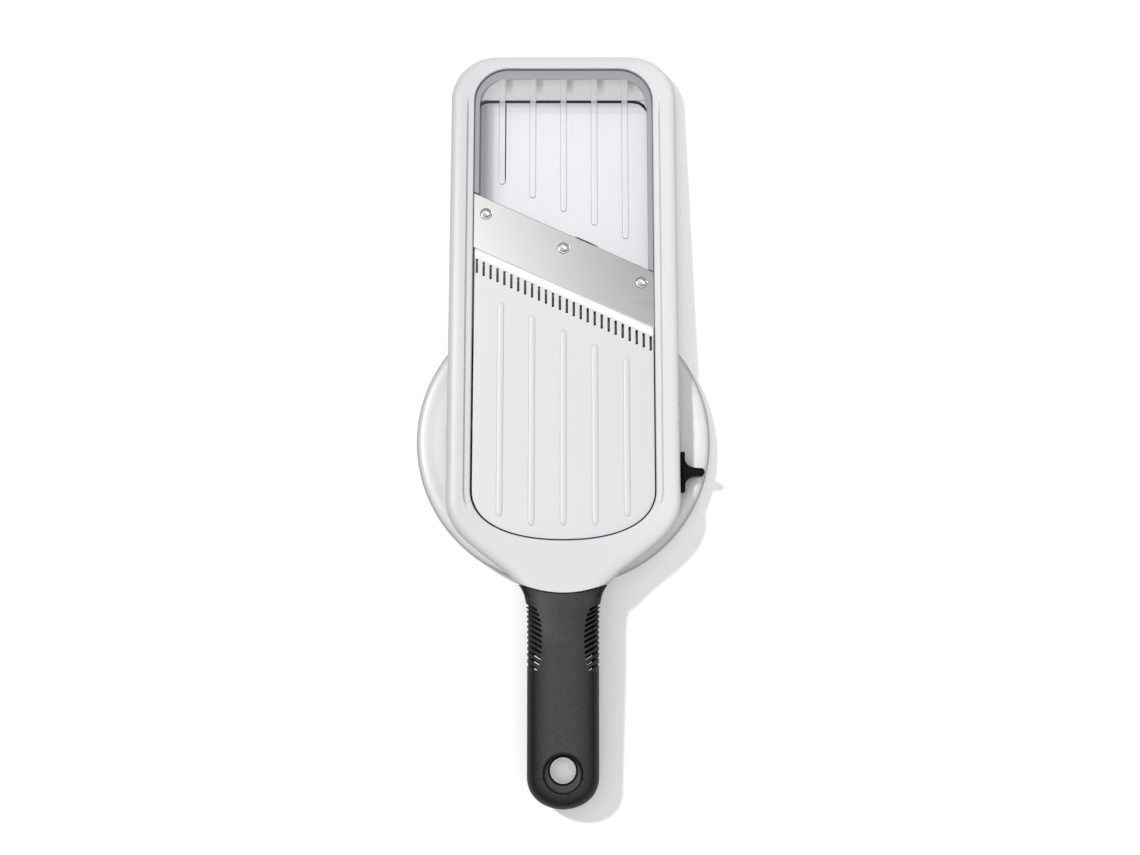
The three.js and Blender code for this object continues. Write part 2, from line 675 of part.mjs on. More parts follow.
function feedRamp() {
  const inner = new THREE.CubicBezierCurve(
    at(0, CHANNEL_END_Y + TABLE_END_GAP),
    at(tableHalf * 0.6, CHANNEL_END_Y + TABLE_END_GAP),
    at(tableHalf, CHANNEL_END_Y + TABLE_END_GAP + CHANNEL_ROUND * 0.33),
    at(tableHalf, CHANNEL_END_Y + CHANNEL_ROUND));
  const edgeY = bladeFrontY + 0.6;
  const outline = mirrored([...inner.getPoints(2 * ARC_STEPS), at(tableHalf, FAR_END_Y)]);
  const nearSide = plate(slantedStrip(bodyHalf, -200, edgeY), -10, 10);
  const top = plate(outline, tableBottom, DECK_Z).intersect(nearSide);
  const lip = alongBlade(across([
    at(bladeFrontY - LIP + 0.8, DECK_Z + 0.01),
    at(edgeY + 1, DECK_Z - LIP_DROP),
    at(edgeY + 1, DECK_Z + 4),
    at(bladeFrontY - LIP + 0.8, DECK_Z + 4),
  ], -bodyHalf, bodyHalf));
  const slots = slotXs().map((x) => {
    const y = slotsY + slantAt(x);
    return box(x - SLOT_WIDTH / 2, x + SLOT_WIDTH / 2, y - SLOT_LENGTH / 2, y + SLOT_LENGTH / 2,
      tableBottom - 1, DECK_Z + 1);
  });
  const ribs = guideXs.map((x) => {
    const outer = Math.abs(x) > 1.5 * GUIDE_PITCH;
    return guideRib(x, outer ? OUTER_GUIDE_END_Y : GUIDE_END_Y, slotsY + slantAt(x) - GUIDE_TO_SLOTS, DECK_Z);
  });
  const feet = [-1, 1].map((side) => {
    const x = side * railX;
    return box(x - RAIL_PIECE / 2, x + RAIL_PIECE / 2, footY - FOOT_LENGTH / 2, footY + FOOT_LENGTH / 2,
      FOOT_BOTTOM, tableBottom + 0.5);
  });
  const lugs = [-1, 1].map((side) => {
    const x = side * LUG_X;
    return join(
      box(x - LUG_WIDTH / 2, x + LUG_WIDTH / 2, HINGE_Y - 2.6, HINGE_Y + 2.6, HINGE_Z, tableBottom + 0.5),
      crosswise(x - LUG_WIDTH / 2, x + LUG_WIDTH / 2, HINGE_Y, HINGE_Z, LUG_R));
  });
  const pegs = [-1, 1].map((side) => {
    const x = side * CARRIER_PEG_X;
    return upright(x, carrierPegY(x), TOOTH_BOTTOM - COMB_STRIP - CARRIER_THICKNESS - 0.6, tableBottom + 0.5,
      PEG_R, PEG_R, 16);
  });
  const bore = crosswise(-LUG_X - LUG_WIDTH, LUG_X + LUG_WIDTH, HINGE_Y, HINGE_Z, HINGE_PIN_R + 0.15);
  const whole = join(cut(top, lip, ...slots), ...ribs, ...feet, ...lugs, ...pegs);
  return cut(whole, bore);
}

function hingePin() {
  return crosswise(-HINGE_PIN_HALF, HINGE_PIN_HALF, HINGE_Y, HINGE_Z, HINGE_PIN_R);
}

// ---------------------------------------------------------------- julienne comb

function julienneComb() {
  const half = slotSpan / 2 + TOOTH_THICKNESS / 2 + 0.3;
  const strip = plate(slantedStrip(half, slotsY - TOOTH_LENGTH / 2, slotsY + TOOTH_LENGTH / 2),
    TOOTH_BOTTOM - COMB_STRIP, TOOTH_BOTTOM);
  const teeth = slotXs().map((x) => {
    const y = slotsY + slantAt(x);
    return box(x - TOOTH_THICKNESS / 2, x + TOOTH_THICKNESS / 2, y - TOOTH_LENGTH / 2 + 0.6,
      y + TOOTH_LENGTH / 2 - 0.6, TOOTH_BOTTOM - 0.3, TOOTH_TOP);
  });
  const holes = [-1, 1].map((side) => drill(side * combScrewX, combScrewY(side), SCREW_R + GAP, 12));
  return cut(join(strip, ...teeth), ...holes);
}

function combCarrier() {
  const top = TOOTH_BOTTOM - COMB_STRIP - GAP;
  const low = top - CARRIER_THICKNESS;
  const half = slotSpan / 2 + 0.4;
  const bar = plate(slantedStrip(half, slotsY - CARRIER_BACK, slotsY + TOOTH_LENGTH / 2), low, top);
  const ridgeY = slotsY - TOOTH_LENGTH / 2 - GAP;
  const ridge = plate(slantedStrip(half - 1, ridgeY - 1.5, ridgeY), top - 0.2, TOOTH_BOTTOM);
  const holes = [-1, 1].map((side) => {
    const x = side * CARRIER_PEG_X;
    return drill(x, carrierPegY(x), PEG_R + GAP, 16);
  });
  for (const side of [-1, 1]) {
    holes.push(drill(side * combScrewX, combScrewY(side), SCREW_R + GAP, 12));
  }
  return cut(join(bar, ridge), ...holes);
}

function combScrew(side) {
  const low = TOOTH_BOTTOM - COMB_STRIP - GAP - CARRIER_THICKNESS;
  const x = side * combScrewX;
  const head = upright(x, combScrewY(side), low - GAP - 0.8, low - GAP, SCREW_HEAD_R, SCREW_HEAD_R, 16);
  const shank = upright(x, combScrewY(side), low - GAP - 0.4, TOOTH_BOTTOM + 0.2, SCREW_R, SCREW_R, 12);
  return join(head, shank);
}

// ---------------------------------------------------------------- lever and carriage

function wedgeCarriage() {
  const armY = LEVER_Y - ARM_LENGTH / 2;
  const footFarY = footY + FOOT_LENGTH / 2;
  const lowTop = wedgeTop - LEVER_TRAVEL * wedgeSlope;
  const rails = [-1, 1].map((side) => {
    const x = side * railX;
    return across([
      at(railBackY, TRACK_Z + GAP),
      at(footFarY + 1, TRACK_Z + GAP),
      at(footFarY + 1, wedgeTop),
      at(footFarY, wedgeTop),
      at(footFarY - LEVER_TRAVEL, lowTop),
      at(railBackY, lowTop),
    ], x - RAIL_PIECE / 2, x + RAIL_PIECE / 2);
  });
  const bridge = box(-railX, railX, armY, armY + BRIDGE_LENGTH, ARM_LOW, ARM_HIGH);
  const arm = box(railX, bodyHalf - GAP, armY, armY + ARM_LENGTH, ARM_LOW, ARM_HIGH);
  const bore = crosswise(bodyHalf - 9, bodyHalf + 1, LEVER_Y, armMiddle, SCREW_R * 0.8 + 0.15, 12);
  return cut(join(...rails, bridge, arm), bore);
}

function thicknessLever() {
  const inner = bodyHalf + GAP;
  const face = inner + LEVER_BASE;
  const tip = bodyHalf + LEVER_FIN_REACH + GAP;
  const half = LEVER_LENGTH / 2;
  const fin = LEVER_FIN / 2;
  const neckX = tip - 2 * fin;
  const upper = [
    at(inner, LEVER_Y + half),
    at(face - 0.6, LEVER_Y + half),
    at(face, LEVER_Y + half - 0.8),
  ];
  const flank = new THREE.QuadraticBezierCurve(
    at(face, LEVER_Y + half - 3), at(face + 0.4, LEVER_Y + fin), at(neckX - 1, LEVER_Y + fin - 0.3));
  const side = [...upper, ...flank.getPoints(6)];
  const nose = arc(tip - fin, LEVER_Y, fin, Math.PI / 2, -Math.PI / 2, 8);
  const lower = side.map((p) => at(p.x, 2 * LEVER_Y - p.y)).reverse();
  const block = plate([...side, ...nose, ...lower].reverse(), armMiddle - LEVER_HEIGHT / 2,
    armMiddle + LEVER_HEIGHT / 2);
  const bore = crosswise(inner - 1, tip + 1, LEVER_Y, armMiddle, SCREW_R + GAP, 12);
  return cut(block, bore);
}

function leverScrew() {
  return crosswise(bodyHalf - 7, bodyHalf + LEVER_BASE + 3, LEVER_Y, armMiddle, SCREW_R * 0.8, 12);
}

// A steel strip under the arm's path, with a dip for each setting.
function detentSpring() {
  const lowY = LEVER_Y - 6;
  const highY = LEVER_Y + LEVER_TRAVEL + 6;
  const top = [];
  const settings = 4;
  const steps = 24;
  for (let i = 0; i <= steps; i++) {
    const y = lowY + (highY - lowY) * i / steps;
    const phase = (y - LEVER_Y) / LEVER_TRAVEL * (settings - 1) * 2 * Math.PI;
    const inside = y > LEVER_Y - 5 && y < LEVER_Y + LEVER_TRAVEL + 5;
    top.push(at(y, ARM_LOW - 0.8 - (inside ? 0.25 * (1 + Math.cos(phase)) : 0)));
  }
  const under = top.map((p) => at(p.x, p.y - 0.5)).reverse();
  return across([...under.reverse(), ...top.reverse()], hollowMiddle - 2, hollowMiddle + 2);
}

// ---------------------------------------------------------------- handle

// The rings stand closer together toward the neck, where the width changes fastest.
function gripBlock() {
  const rings = [];
  const addRing = (y) => {
    const section = handleSection(y);
    rings.push(sectionRing(y, section.halfWidth, section.halfThickness, section.middle));
  };
  const steps = 11;
  for (let i = 0; i < steps; i++) {
    addRing(THREE.MathUtils.lerp(NECK_Y + 1.5, HANDLE_END_Y + HANDLE_END_ROUND, (i / steps) ** 1.7));
  }
  const endSteps = 6;
  for (let i = 0; i <= endSteps; i++) {
    addRing(HANDLE_END_Y + 0.05 + HANDLE_END_ROUND * Math.cos(i / endSteps * Math.PI / 2) ** 1.4);
  }
  return loft(rings);
}

function finSlots() {
  const cuts = [];
  const reach = NECK_HALF_WIDTH + 2;
  for (let i = 0; i < FIN_COUNT; i++) {
    const y = FIN_START_Y - i * FIN_PITCH;
    const fall = FIN_SLANT * (reach - FIN_INNER_X) / 7;
    const slot = plate([
      at(FIN_INNER_X, y - FIN_SLANT),
      at(reach, y - FIN_SLANT + fall),
      at(reach, y - FIN_SLANT + fall + FIN_SLOT),
      at(FIN_INNER_X, y - FIN_SLANT + FIN_SLOT),
    ], -THROUGH, THROUGH);
    cuts.push(slot, slot.mirror([1, 0, 0]));
  }
  const finsEnd = FIN_START_Y - FIN_COUNT * FIN_PITCH - FIN_SLANT;
  const web = loft([FIN_START_Y + 5, finsEnd - 5].map((y) =>
    sectionRing(y, HANDLE_HALF_WIDTH - 1.6, FIN_WEB_HALF, axisZ(y), 8, 6)));
  return cut(join(...cuts), web);
}

function recessBowl() {
  const top = axisZ(RECESS_Y) + HANDLE_HALF_THICKNESS;
  const ball = (RECESS_R ** 2 + RECESS_DEPTH ** 2) / (2 * RECESS_DEPTH);
  const geometry = new THREE.SphereGeometry(ball, 24, 24);
  geometry.translate(0, RECESS_Y, top - RECESS_DEPTH + ball);
  return solid(geometry);
}

function handleGrip() {
  const body = gripBlock().intersect(beyondSeam(GAP));
  const hole = drill(0, HANG_Y, HANG_R + EYELET_WALL + GAP, 36);
  return cut(body, tongue(GAP), finSlots(), recessBowl(), hole);
}

function hangEyelet() {
  const outerR = HANG_R + EYELET_WALL;
  const band = gripBlock().intersect(drill(0, HANG_Y, outerR, 36));
  return cut(band, recessBowl(), drill(0, HANG_Y, HANG_R, 36));
}

// ---------------------------------------------------------------- food holder

function turned(profile, segments = 56) {
  const geometry = new THREE.LatheGeometry(profile, segments);
  geometry.rotateX(Math.PI / 2);
  geometry.translate(0, holderY, 0);
  return solid(geometry);
}

function clipPlaces() {
  const x = hollowMiddle;
  const farY = LEVER_Y + LEVER_TRAVEL + ARM_LENGTH / 2 + 4;
  const nearY = LEVER_Y - ARM_LENGTH / 2 - 4 - CLIP_LENGTH;
  return [-1, 1].flatMap((side) => [{ x: side * x, y: farY }, { x: side * x, y: nearY }]);
}

function holderDish() {
  const slopeR = HOLDER_R - HOLDER_SLOPE;
  const bend = new THREE.CubicBezierCurve(
    at(HOLDER_R - 1.6, HOLDER_RIM_Z),
    at(HOLDER_R - 4.5, dishFloor + HOLDER_DEPTH * 0.45),
    at(slopeR + 5, dishFloor),
    at(slopeR, dishFloor)).getPoints(5);
  const under = new THREE.CubicBezierCurve(
    at(slopeR, dishBottom),
    at(slopeR + 6, dishBottom),
    at(HOLDER_R - 3, dishBottom + 1.8),
    at(HOLDER_R, HOLDER_RIM_Z - 1.4)).getPoints(5);
  const edge = arc(HOLDER_R - 0.8, HOLDER_RIM_Z - 0.8, 0.8, 0, Math.PI / 2, 3);
  const profile = [at(0, dishBottom), ...under, ...edge, ...bend, at(0, dishFloor)];
  const clips = clipPlaces().map((place) => box(place.x - CLIP_WIDTH / 2, place.x + CLIP_WIDTH / 2,
    place.y, place.y + CLIP_LENGTH, dishFloor - HOLDER_WALL / 2, CLIP_TOP));
  const bore = drill(0, holderY, SCREW_R + GAP, 16);
  return cut(join(turned(profile), ...clips), bore);
}

function palmPad() {
  const half = Math.asin(PAD_R / padBall);
  const dome = [];
  const steps = 5;
  for (let i = 0; i <= steps; i++) {
    const angle = half * i / steps;
    dome.push(at(padBall * Math.sin(angle), padLow + padBall * (1 - Math.cos(angle))));
  }
  const pad = turned([...dome, at(PAD_R, dishBottom - GAP), at(0, dishBottom - GAP)], 36);
  const socketR = SCREW_HEAD_R + 0.5;
  const socket = upright(0, holderY, dishBottom - 2.4, dishBottom + 1, socketR, socketR, 16);
  return cut(pad, socket);
}

function prongPlate() {
  const low = dishFloor + GAP;
  const top = low + PRONG_PLATE_THICKNESS;
  const disc = turned([
    at(0, low),
    at(PRONG_PLATE_R, low),
    at(PRONG_PLATE_R, top - 0.5),
    at(PRONG_PLATE_R - 0.5, top),
    at(0, top),
  ], 48);
  const prongs = Array.from({ length: PRONG_COUNT }, (_, i) => {
    const angle = 2 * Math.PI * (i + 0.5) / PRONG_COUNT;
    return upright(PRONG_RING_R * Math.cos(angle), holderY + PRONG_RING_R * Math.sin(angle), top - 0.4,
      PRONG_TOP, PRONG_R, 0.25, 12);
  });
  return cut(join(disc, ...prongs), drill(0, holderY, SCREW_R + 0.15, 16));
}

function prongScrew() {
  const head = upright(0, holderY, dishBottom - 1.6, dishBottom - GAP, SCREW_HEAD_R, SCREW_HEAD_R, 16);
  const shank = upright(0, holderY, dishBottom - 1, dishFloor + GAP + PRONG_PLATE_THICKNESS, SCREW_R - 0.1,
    SCREW_R - 0.1, 12);
  return join(head, shank);
}

// ---------------------------------------------------------------- resting on its foot and the holder

// The palm pad's ball and the foot's near edge both touch the table at this tilt about x.
function restTilt() {
  const reach = toeY - holderY;
  const rise = toeLow - (padLow + padBall);
  const size = Math.hypot(reach, rise);
  return Math.atan2(reach, rise) - Math.acos(-padBall / size);
}

const toeLow = bottomAt(toeY) - TOE_DROP;
const tilt = restTilt();
const toRest = new THREE.Matrix4().makeRotationX(tilt);
const tableLevel = new THREE.Vector3(0, toeY, toeLow).applyMatrix4(toRest).z;

// The foot's underside is cut level with the table.
function toeFoot() {
  const outline = [
    ...arc(TOE_HALF_WIDTH, toeY, TOE_LENGTH / 2, -Math.PI / 2, Math.PI / 2, 8),
    ...arc(-TOE_HALF_WIDTH, toeY, TOE_LENGTH / 2, Math.PI / 2, 3 * Math.PI / 2, 8),
  ];
  const block = plate(outline, toeLow - 2 * TOE_DROP, FAR_BOTTOM);
  const level = new THREE.BoxGeometry(4 * TOE_HALF_WIDTH, 6 * TOE_LENGTH, 20);
  level.translate(0, 0, -10);
  level.applyMatrix4(new THREE.Matrix4().makeRotationX(-tilt));
  level.translate(0, toeY, toeLow);
  const roof = across([
    at(toeY - TOE_LENGTH, bottomAt(toeY - TOE_LENGTH) - GAP),
    at(toeY + TOE_LENGTH, bottomAt(toeY + TOE_LENGTH) - GAP),
    at(toeY + TOE_LENGTH, 10),
    at(toeY - TOE_LENGTH, 10),
  ], -bodyHalf, bodyHalf);
  return cut(block, solid(level), roof);
}

// ---------------------------------------------------------------- assembly

const slicer = new THREE.Group();
const [leftPin, midPin, rightPin] = pinPlaces();
slicer.add(
  piece('frame_shell', frameShell(), whitePlastic),
  piece('handle_grip', handleGrip(), softBlack),
  piece('hang_eyelet', hangEyelet(), blackPlastic),
  piece('window_panel', windowPanel(), clearPlastic),
  piece('slicing_blade', slicingBlade(), steel),
  piece('blade_pin_left', bladePin(leftPin), polishedSteel),
  piece('blade_pin_mid', bladePin(midPin), polishedSteel),
  piece('blade_pin_right', bladePin(rightPin), polishedSteel),
  piece('panel_screw_left', panelScrew(-1), steel),
  piece('panel_screw_right', panelScrew(1), steel),
  piece('toe_foot', toeFoot(), softBlack),
  piece('ramp_hinge_pin', hingePin(), steel),
  piece('detent_spring', detentSpring(), steel),
  piece('feed_ramp', feedRamp(), whitePlastic),
  piece('julienne_comb', julienneComb(), steel),
  piece('comb_carrier', combCarrier(), greyPlastic),
  piece('comb_screw_left', combScrew(-1), steel),
  piece('comb_screw_right', combScrew(1), steel),
  piece('wedge_carriage', wedgeCarriage(), greyPlastic),
  piece('thickness_lever', thicknessLever(), blackPlastic),
  piece('lever_screw', leverScrew(), steel),
  piece('holder_dish', holderDish(), whitePlastic),
  piece('palm_pad', palmPad(), softBlack),
  piece('prong_plate', prongPlate(), greyPlastic),
  piece('prong_screw', prongScrew(), steel),
);
slicer.rotation.x = tilt;
slicer.position.z = -tableLevel;

// Centre the slicer's box on the origin.
const mandoline = new THREE.Group();
mandoline.add(slicer);
mandoline.updateMatrixWorld(true);
const extent = new THREE.Box3().setFromObject(mandoline, true).getCenter(new THREE.Vector3());
mandoline.position.set(-extent.x, -extent.y, 0);

export default mandoline;
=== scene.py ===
"""Looks for the mandoline slicer: fine surfaces, materials, floor, soft studio light and camera.

Pieces are drawn in millimetres in the slicer's own level frame, x across, y toward the far end, z up
from the rim's widest line, and LEVEL then turns and places them in the row frame, in metres.
"""

import json
import math

import bpy
import bmesh
from mathutils import Matrix, Vector

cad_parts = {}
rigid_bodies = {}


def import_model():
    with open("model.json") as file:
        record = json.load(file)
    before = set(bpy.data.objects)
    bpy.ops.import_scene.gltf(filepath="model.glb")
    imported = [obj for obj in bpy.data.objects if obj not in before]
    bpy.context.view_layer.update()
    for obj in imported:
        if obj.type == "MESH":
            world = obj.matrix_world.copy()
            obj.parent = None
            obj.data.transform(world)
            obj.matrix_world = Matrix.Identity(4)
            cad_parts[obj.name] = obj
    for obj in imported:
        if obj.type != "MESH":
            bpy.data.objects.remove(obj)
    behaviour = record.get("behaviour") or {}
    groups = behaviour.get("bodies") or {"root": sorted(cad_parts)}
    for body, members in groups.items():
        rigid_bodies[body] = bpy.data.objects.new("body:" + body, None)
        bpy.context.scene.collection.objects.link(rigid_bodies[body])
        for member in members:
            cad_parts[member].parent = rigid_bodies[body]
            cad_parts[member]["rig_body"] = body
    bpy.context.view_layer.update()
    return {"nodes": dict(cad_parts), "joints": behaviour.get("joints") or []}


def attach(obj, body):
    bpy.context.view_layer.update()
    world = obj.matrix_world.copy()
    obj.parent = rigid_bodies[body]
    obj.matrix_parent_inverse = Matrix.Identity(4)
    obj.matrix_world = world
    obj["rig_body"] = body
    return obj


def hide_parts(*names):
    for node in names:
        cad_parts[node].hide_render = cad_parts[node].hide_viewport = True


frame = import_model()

# ---------------------------------------------------------------- sizes in millimetres

# They follow the CAD model, but for the finger slots and the table's slots, which are drawn a little wider.

# Frame
BODY_HALF = 58.75
FAR_END_Y = 198.8
FAR_CORNER_R = 24
SIDE_END_Y = -38
NECK_Y = -78.2
NECK_HALF_WIDTH = 24.2
CHANNEL_HALF = 46.6
CHANNEL_FAR_Y = 190.9
CHANNEL_END_Y = -58.7
CHANNEL_ROUND = 25.7
FAR_INNER_R = 18
RIM_TOP = 4.5
RIM_ROUND = 8.6
RIM_POWER = 2.8
RIM_SKIN_Z = 1.2
RAIL_TOP = 3.4
RAIL_WIDTH = 3.4
RAIL_START_Y = -37
RAIL_END_Y = 175
WALL_BOTTOM = -9.2
FAR_BOTTOM = -4.0
TAPER_START_Y = 74
OUTER_WALL = 2.6
INNER_WALL = 2.4
POST_X = 19
TRACK_Z = -7.6
GAP = 0.3

# Decks and guide ribs of the panel and the table
DECK_Z = 1.6
GUIDE_PITCH = 16
GUIDE_WIDTH = 3.2
GUIDE_HEIGHT = 0.7

# Clear panel
WINDOW_BOTTOM = -1.6
WINDOW_WALL = 2.7
WINDOW_FAR_WALL = 5.4
WINDOW_WALL_TOP = 3.2
WINDOW_SLOPE = 11.2
PANEL_SCREW_X = 38.5
PANEL_SCREW_Y = CHANNEL_FAR_Y - 8.4
SCREW_R = 1.3

# Blade and its pins
BLADE_Y = 87
BLADE_SLANT = 0.462
BLADE_REACH = 29
BLADE_TOP = 2.0
BLADE_THICKNESS = 0.9
PIN_R = 2.7
PIN_X = 40
PIN_ABOVE_MIDDLE = 6.2
PIN_FOOT_Z = -6.2

# Feed table and lever
HINGE_Y = -50
HINGE_Z = -4.1
LIP = 5.6
SLOT_COUNT = 26
SLOT_LENGTH = 7.5
SLOT_HALF = 0.62
SLOT_MARGIN = 2.1
TOOTH_BOTTOM = -4.3
RAIL_PIECE = 3.2
LEVER_Y = -22.9
LEVER_TRAVEL = 30
ARM_LOW = -6.6
ARM_HIGH = -4.4
ARM_LENGTH = 8

# Handle
HANDLE_END_Y = -189
HANDLE_HALF_WIDTH = 17.8
HANDLE_HALF_THICKNESS = 11.2
NECK_HALF_THICKNESS = 6.4
HANDLE_START_Z = -2.4
HANDLE_DROOP = 0.111
HANDLE_END_ROUND = 17
SECTION_POWER = 2.3
TONGUE_HALF_WIDTH = 10
TONGUE_HALF_THICKNESS = 3.6
TONGUE_END_Y = -152
SEAM_SIDE_Y = -78.5
SEAM_MIDDLE_Y = -84.6
FIN_COUNT = 12
FIN_PITCH = 2.6
FIN_START_Y = -89.7
FIN_SLOT = 1.4
FIN_INNER_X = 10.8
FIN_SLANT = 4.2
WEB_OPEN_X = 14.2
HANG_Y = -170.3
HANG_R = 6.25
EYELET_WALL = 1.1
RECESS_Y = -172.3
RECESS_R = 10.2
RECESS_DEPTH = 3.2

# Food holder
HOLDER_R = 75
HOLDER_Y = -5
HOLDER_RIM_Z = -9.7

# Further across than any part of the slicer's body
WIDE = 60

# Painted light and shade in the plastics' colours: the white's lean from left to right, the shadow in the
# clear panel by its left wall and the shade beside each rib
LEAN_REACH = 56
LEFT_SHADE_X = (-34.5, -41.5)
LEFT_SHADE_COLOR = (0.13, 0.126, 0.146, 1)
RIB_SHADE_Y = (171, 178.5)
RIB_SHADE_STOPS = ((0.08, 0), (0.15, 1), (0.24, 0.8), (0.4, 0))
RIB_SHADE_COLOR = (0.2, 0.2, 0.21, 1)

# ---------------------------------------------------------------- the slicer's level frame

joints = {joint["name"]: joint for joint in frame["joints"]}
lift = Vector(joints["holder_release"]["axis"])
tilt = math.atan2(lift.y, lift.z)
LEVEL = (Matrix.Translation(Vector(joints["table_tilt"]["pos_m"]))
         @ Matrix.Rotation(-tilt, 4, "X")
         @ Matrix.Scale(0.001, 4)
         @ Matrix.Translation((0, -HINGE_Y, -HINGE_Z)))


# ---------------------------------------------------------------- materials

class Nodes:
    """A node tree under construction."""

    def __init__(self, tree):
        self.tree = tree

    def node(self, kind, **settings):
        made = self.tree.nodes.new(kind)
        for key, value in settings.items():
            setattr(made, key, value)
        return made

    def link(self, source, target):
        self.tree.links.new(source, target)

    def feed(self, target, value):
        """Gives an input its value, which is a number or another node's output."""
        if isinstance(value, (int, float)):
            target.default_value = value
        else:
            self.link(value, target)

    def axis(self, vector, name):
        made = self.node("ShaderNodeSeparateXYZ")
        self.link(vector, made.inputs["Vector"])
        return made.outputs[name]

    def reckon(self, operation, *values):
        made = self.node("ShaderNodeMath", operation=operation)
        for target, value in zip(made.inputs, values):
            self.feed(target, value)
        return made.outputs["Value"]

    def graded(self, source, from_low, from_high, low=0.0, high=1.0, kind="SMOOTHSTEP"):
        """A value carried from one range to another and kept inside it."""
        made = self.node("ShaderNodeMapRange", interpolation_type=kind)
        self.link(source, made.inputs["Value"])
        for key, value in zip(("From Min", "From Max", "To Min", "To Max"), (from_low, from_high, low, high)):
            made.inputs[key].default_value = value
        return made.outputs["Result"]

    def blend(self, factor, first, second):
        made = self.node("ShaderNodeMix")
        for key, value in (("Factor", factor), ("A", first), ("B", second)):
            self.feed(made.inputs[key], value)
        return made.outputs["Result"]


class Finish(Nodes):
    """A Principled material under construction: its node tree, its shader and object coordinates."""

    def __init__(self, name):
        self.material = bpy.data.materials.new(name)
        self.material.use_nodes = True
        super().__init__(self.material.node_tree)
        self.shader = self.tree.nodes["Principled BSDF"]
        self.place = self.node("ShaderNodeTexCoord").outputs["Object"]

    def set(self, **values):
        for key, value in values.items():
            self.shader.inputs[key.replace("_", " ")].default_value = value
        return self

    def noise(self, scale, detail=3.0, stretch=(1, 1, 1)):
        """Noise in metres, drawn out along an axis where stretch is below 1."""
        mapping = self.node("ShaderNodeMapping")
        mapping.inputs["Scale"].default_value = stretch
        self.link(self.place, mapping.inputs["Vector"])
        made = self.node("ShaderNodeTexNoise")
        made.inputs["Scale"].default_value = scale
        made.inputs["Detail"].default_value = detail
        self.link(mapping.outputs["Vector"], made.inputs["Vector"])
        return made.outputs["Fac"]

    def ramp(self, source, low, high, start=0.3, end=0.7):
        made = self.node("ShaderNodeValToRGB")
        made.color_ramp.elements[0].position = start
        made.color_ramp.elements[0].color = low
        made.color_ramp.elements[1].position = end
        made.color_ramp.elements[1].color = high
        self.link(source, made.inputs["Fac"])
        return made.outputs["Color"]

    def mixed(self, factor, color, other):
        made = self.node("ShaderNodeMixRGB")
        self.link(factor, made.inputs["Fac"])
        self.link(color, made.inputs["Color1"])
        made.inputs["Color2"].default_value = other
        return made.outputs["Color"]

    def span(self, source, low, high):
        return self.graded(source, 0, 1, low, high, "LINEAR")

    def turn_dark(self, color, start, end, least, lean=0.0):
        """Base colour with painted shade: it falls to a part of itself on steep faces, and may rise from left
        to right as painted light.
        """
        normal = self.node("ShaderNodeTexCoord").outputs["Normal"]
        level = self.reckon("ABSOLUTE", self.axis(normal, "Z"))
        fall = self.graded(level, 1 - start, 1 - end, 1, least, "LINEAR")
        reach = LEAN_REACH / 1000
        across_x = self.graded(self.axis(self.place, "X"), -reach, reach, -1, 1, "LINEAR")
        leaning = self.reckon("MULTIPLY_ADD", self.reckon("POWER", across_x, 3), lean, 1)
        turned = self.node("ShaderNodeHueSaturation")
        self.link(color, turned.inputs["Color"])
        self.link(self.reckon("MULTIPLY", fall, leaning), turned.inputs["Value"])
        self.link(turned.outputs["Color"], self.shader.inputs["Base Color"])

    def bump(self, source, distance, strength=1.0):
        made = self.node("ShaderNodeBump")
        made.inputs["Distance"].default_value = distance
        made.inputs["Strength"].default_value = strength
        previous = self.shader.inputs["Normal"].links
        if previous:
            self.link(previous[0].from_socket, made.inputs["Normal"])
        self.link(source, made.inputs["Height"])
        self.link(made.outputs["Normal"], self.shader.inputs["Normal"])


def moulded(name, color, roughness, coat=0.0, edge=0.7, edge_at=0.6, lean=0.0, glow=0.0):
    """Satin moulded plastic, with painted shade that greys it a little on steep faces."""
    finish = Finish(name).set(Roughness=roughness, IOR=1.5, Coat_Weight=coat, Coat_Roughness=0.08,
                              Emission_Strength=glow)
    low = (*[c * 0.98 for c in color], 1)
    finish.turn_dark(finish.ramp(finish.noise(14, 2), low, (*color, 1)), 0.015, edge_at, edge, lean)
    finish.link(finish.span(finish.noise(900, 4), roughness - 0.03, roughness + 0.05),
                finish.shader.inputs["Roughness"])
    finish.bump(finish.noise(2600, 2), 0.000001)
    finish.bump(finish.noise(60, 2), 0.00004, 0.25)
    return finish.material


def soft_touch(name, color, roughness, level, least=0.08):
    """Dark rubber or plastic, with painted shade that makes it deeper on steep faces."""
    finish = Finish(name).set(Roughness=roughness, IOR=1.48, Specular_IOR_Level=level)
    low = (*[c * 0.85 for c in color], 1)
    high = (*[c * 1.15 for c in color], 1)
    finish.turn_dark(finish.ramp(finish.noise(700, 5), low, high), 0.0, 0.23, least)
    finish.link(finish.span(finish.noise(30, 3), roughness - 0.05, roughness + 0.06),
                finish.shader.inputs["Roughness"])
    finish.bump(finish.noise(3200, 3), 0.00002, 0.6)
    return finish.material


def brushed_steel(name, color, roughness, along=(0.02, 1, 1)):
    finish = Finish(name).set(Metallic=1.0, Roughness=roughness)
    grain = finish.noise(2200, 3, along)
    low = (*[c * 0.97 for c in color], 1)
    finish.link(finish.ramp(grain, low, (*color, 1)), finish.shader.inputs["Base Color"])
    finish.link(finish.span(grain, roughness - 0.02, roughness + 0.03), finish.shader.inputs["Roughness"])
    finish.bump(grain, 0.000001, 0.5)
    return finish.material


def shaded_left(finish, tone, density):
    """Painted shadow of the left wall: darker and denser toward the left wall."""
    start, end = LEFT_SHADE_X
    near = finish.graded(finish.axis(finish.place, "X"), start / 1000, end / 1000, 0, 0.85)
    return finish.mixed(near, tone, LEFT_SHADE_COLOR), finish.reckon("MAXIMUM", density, near)


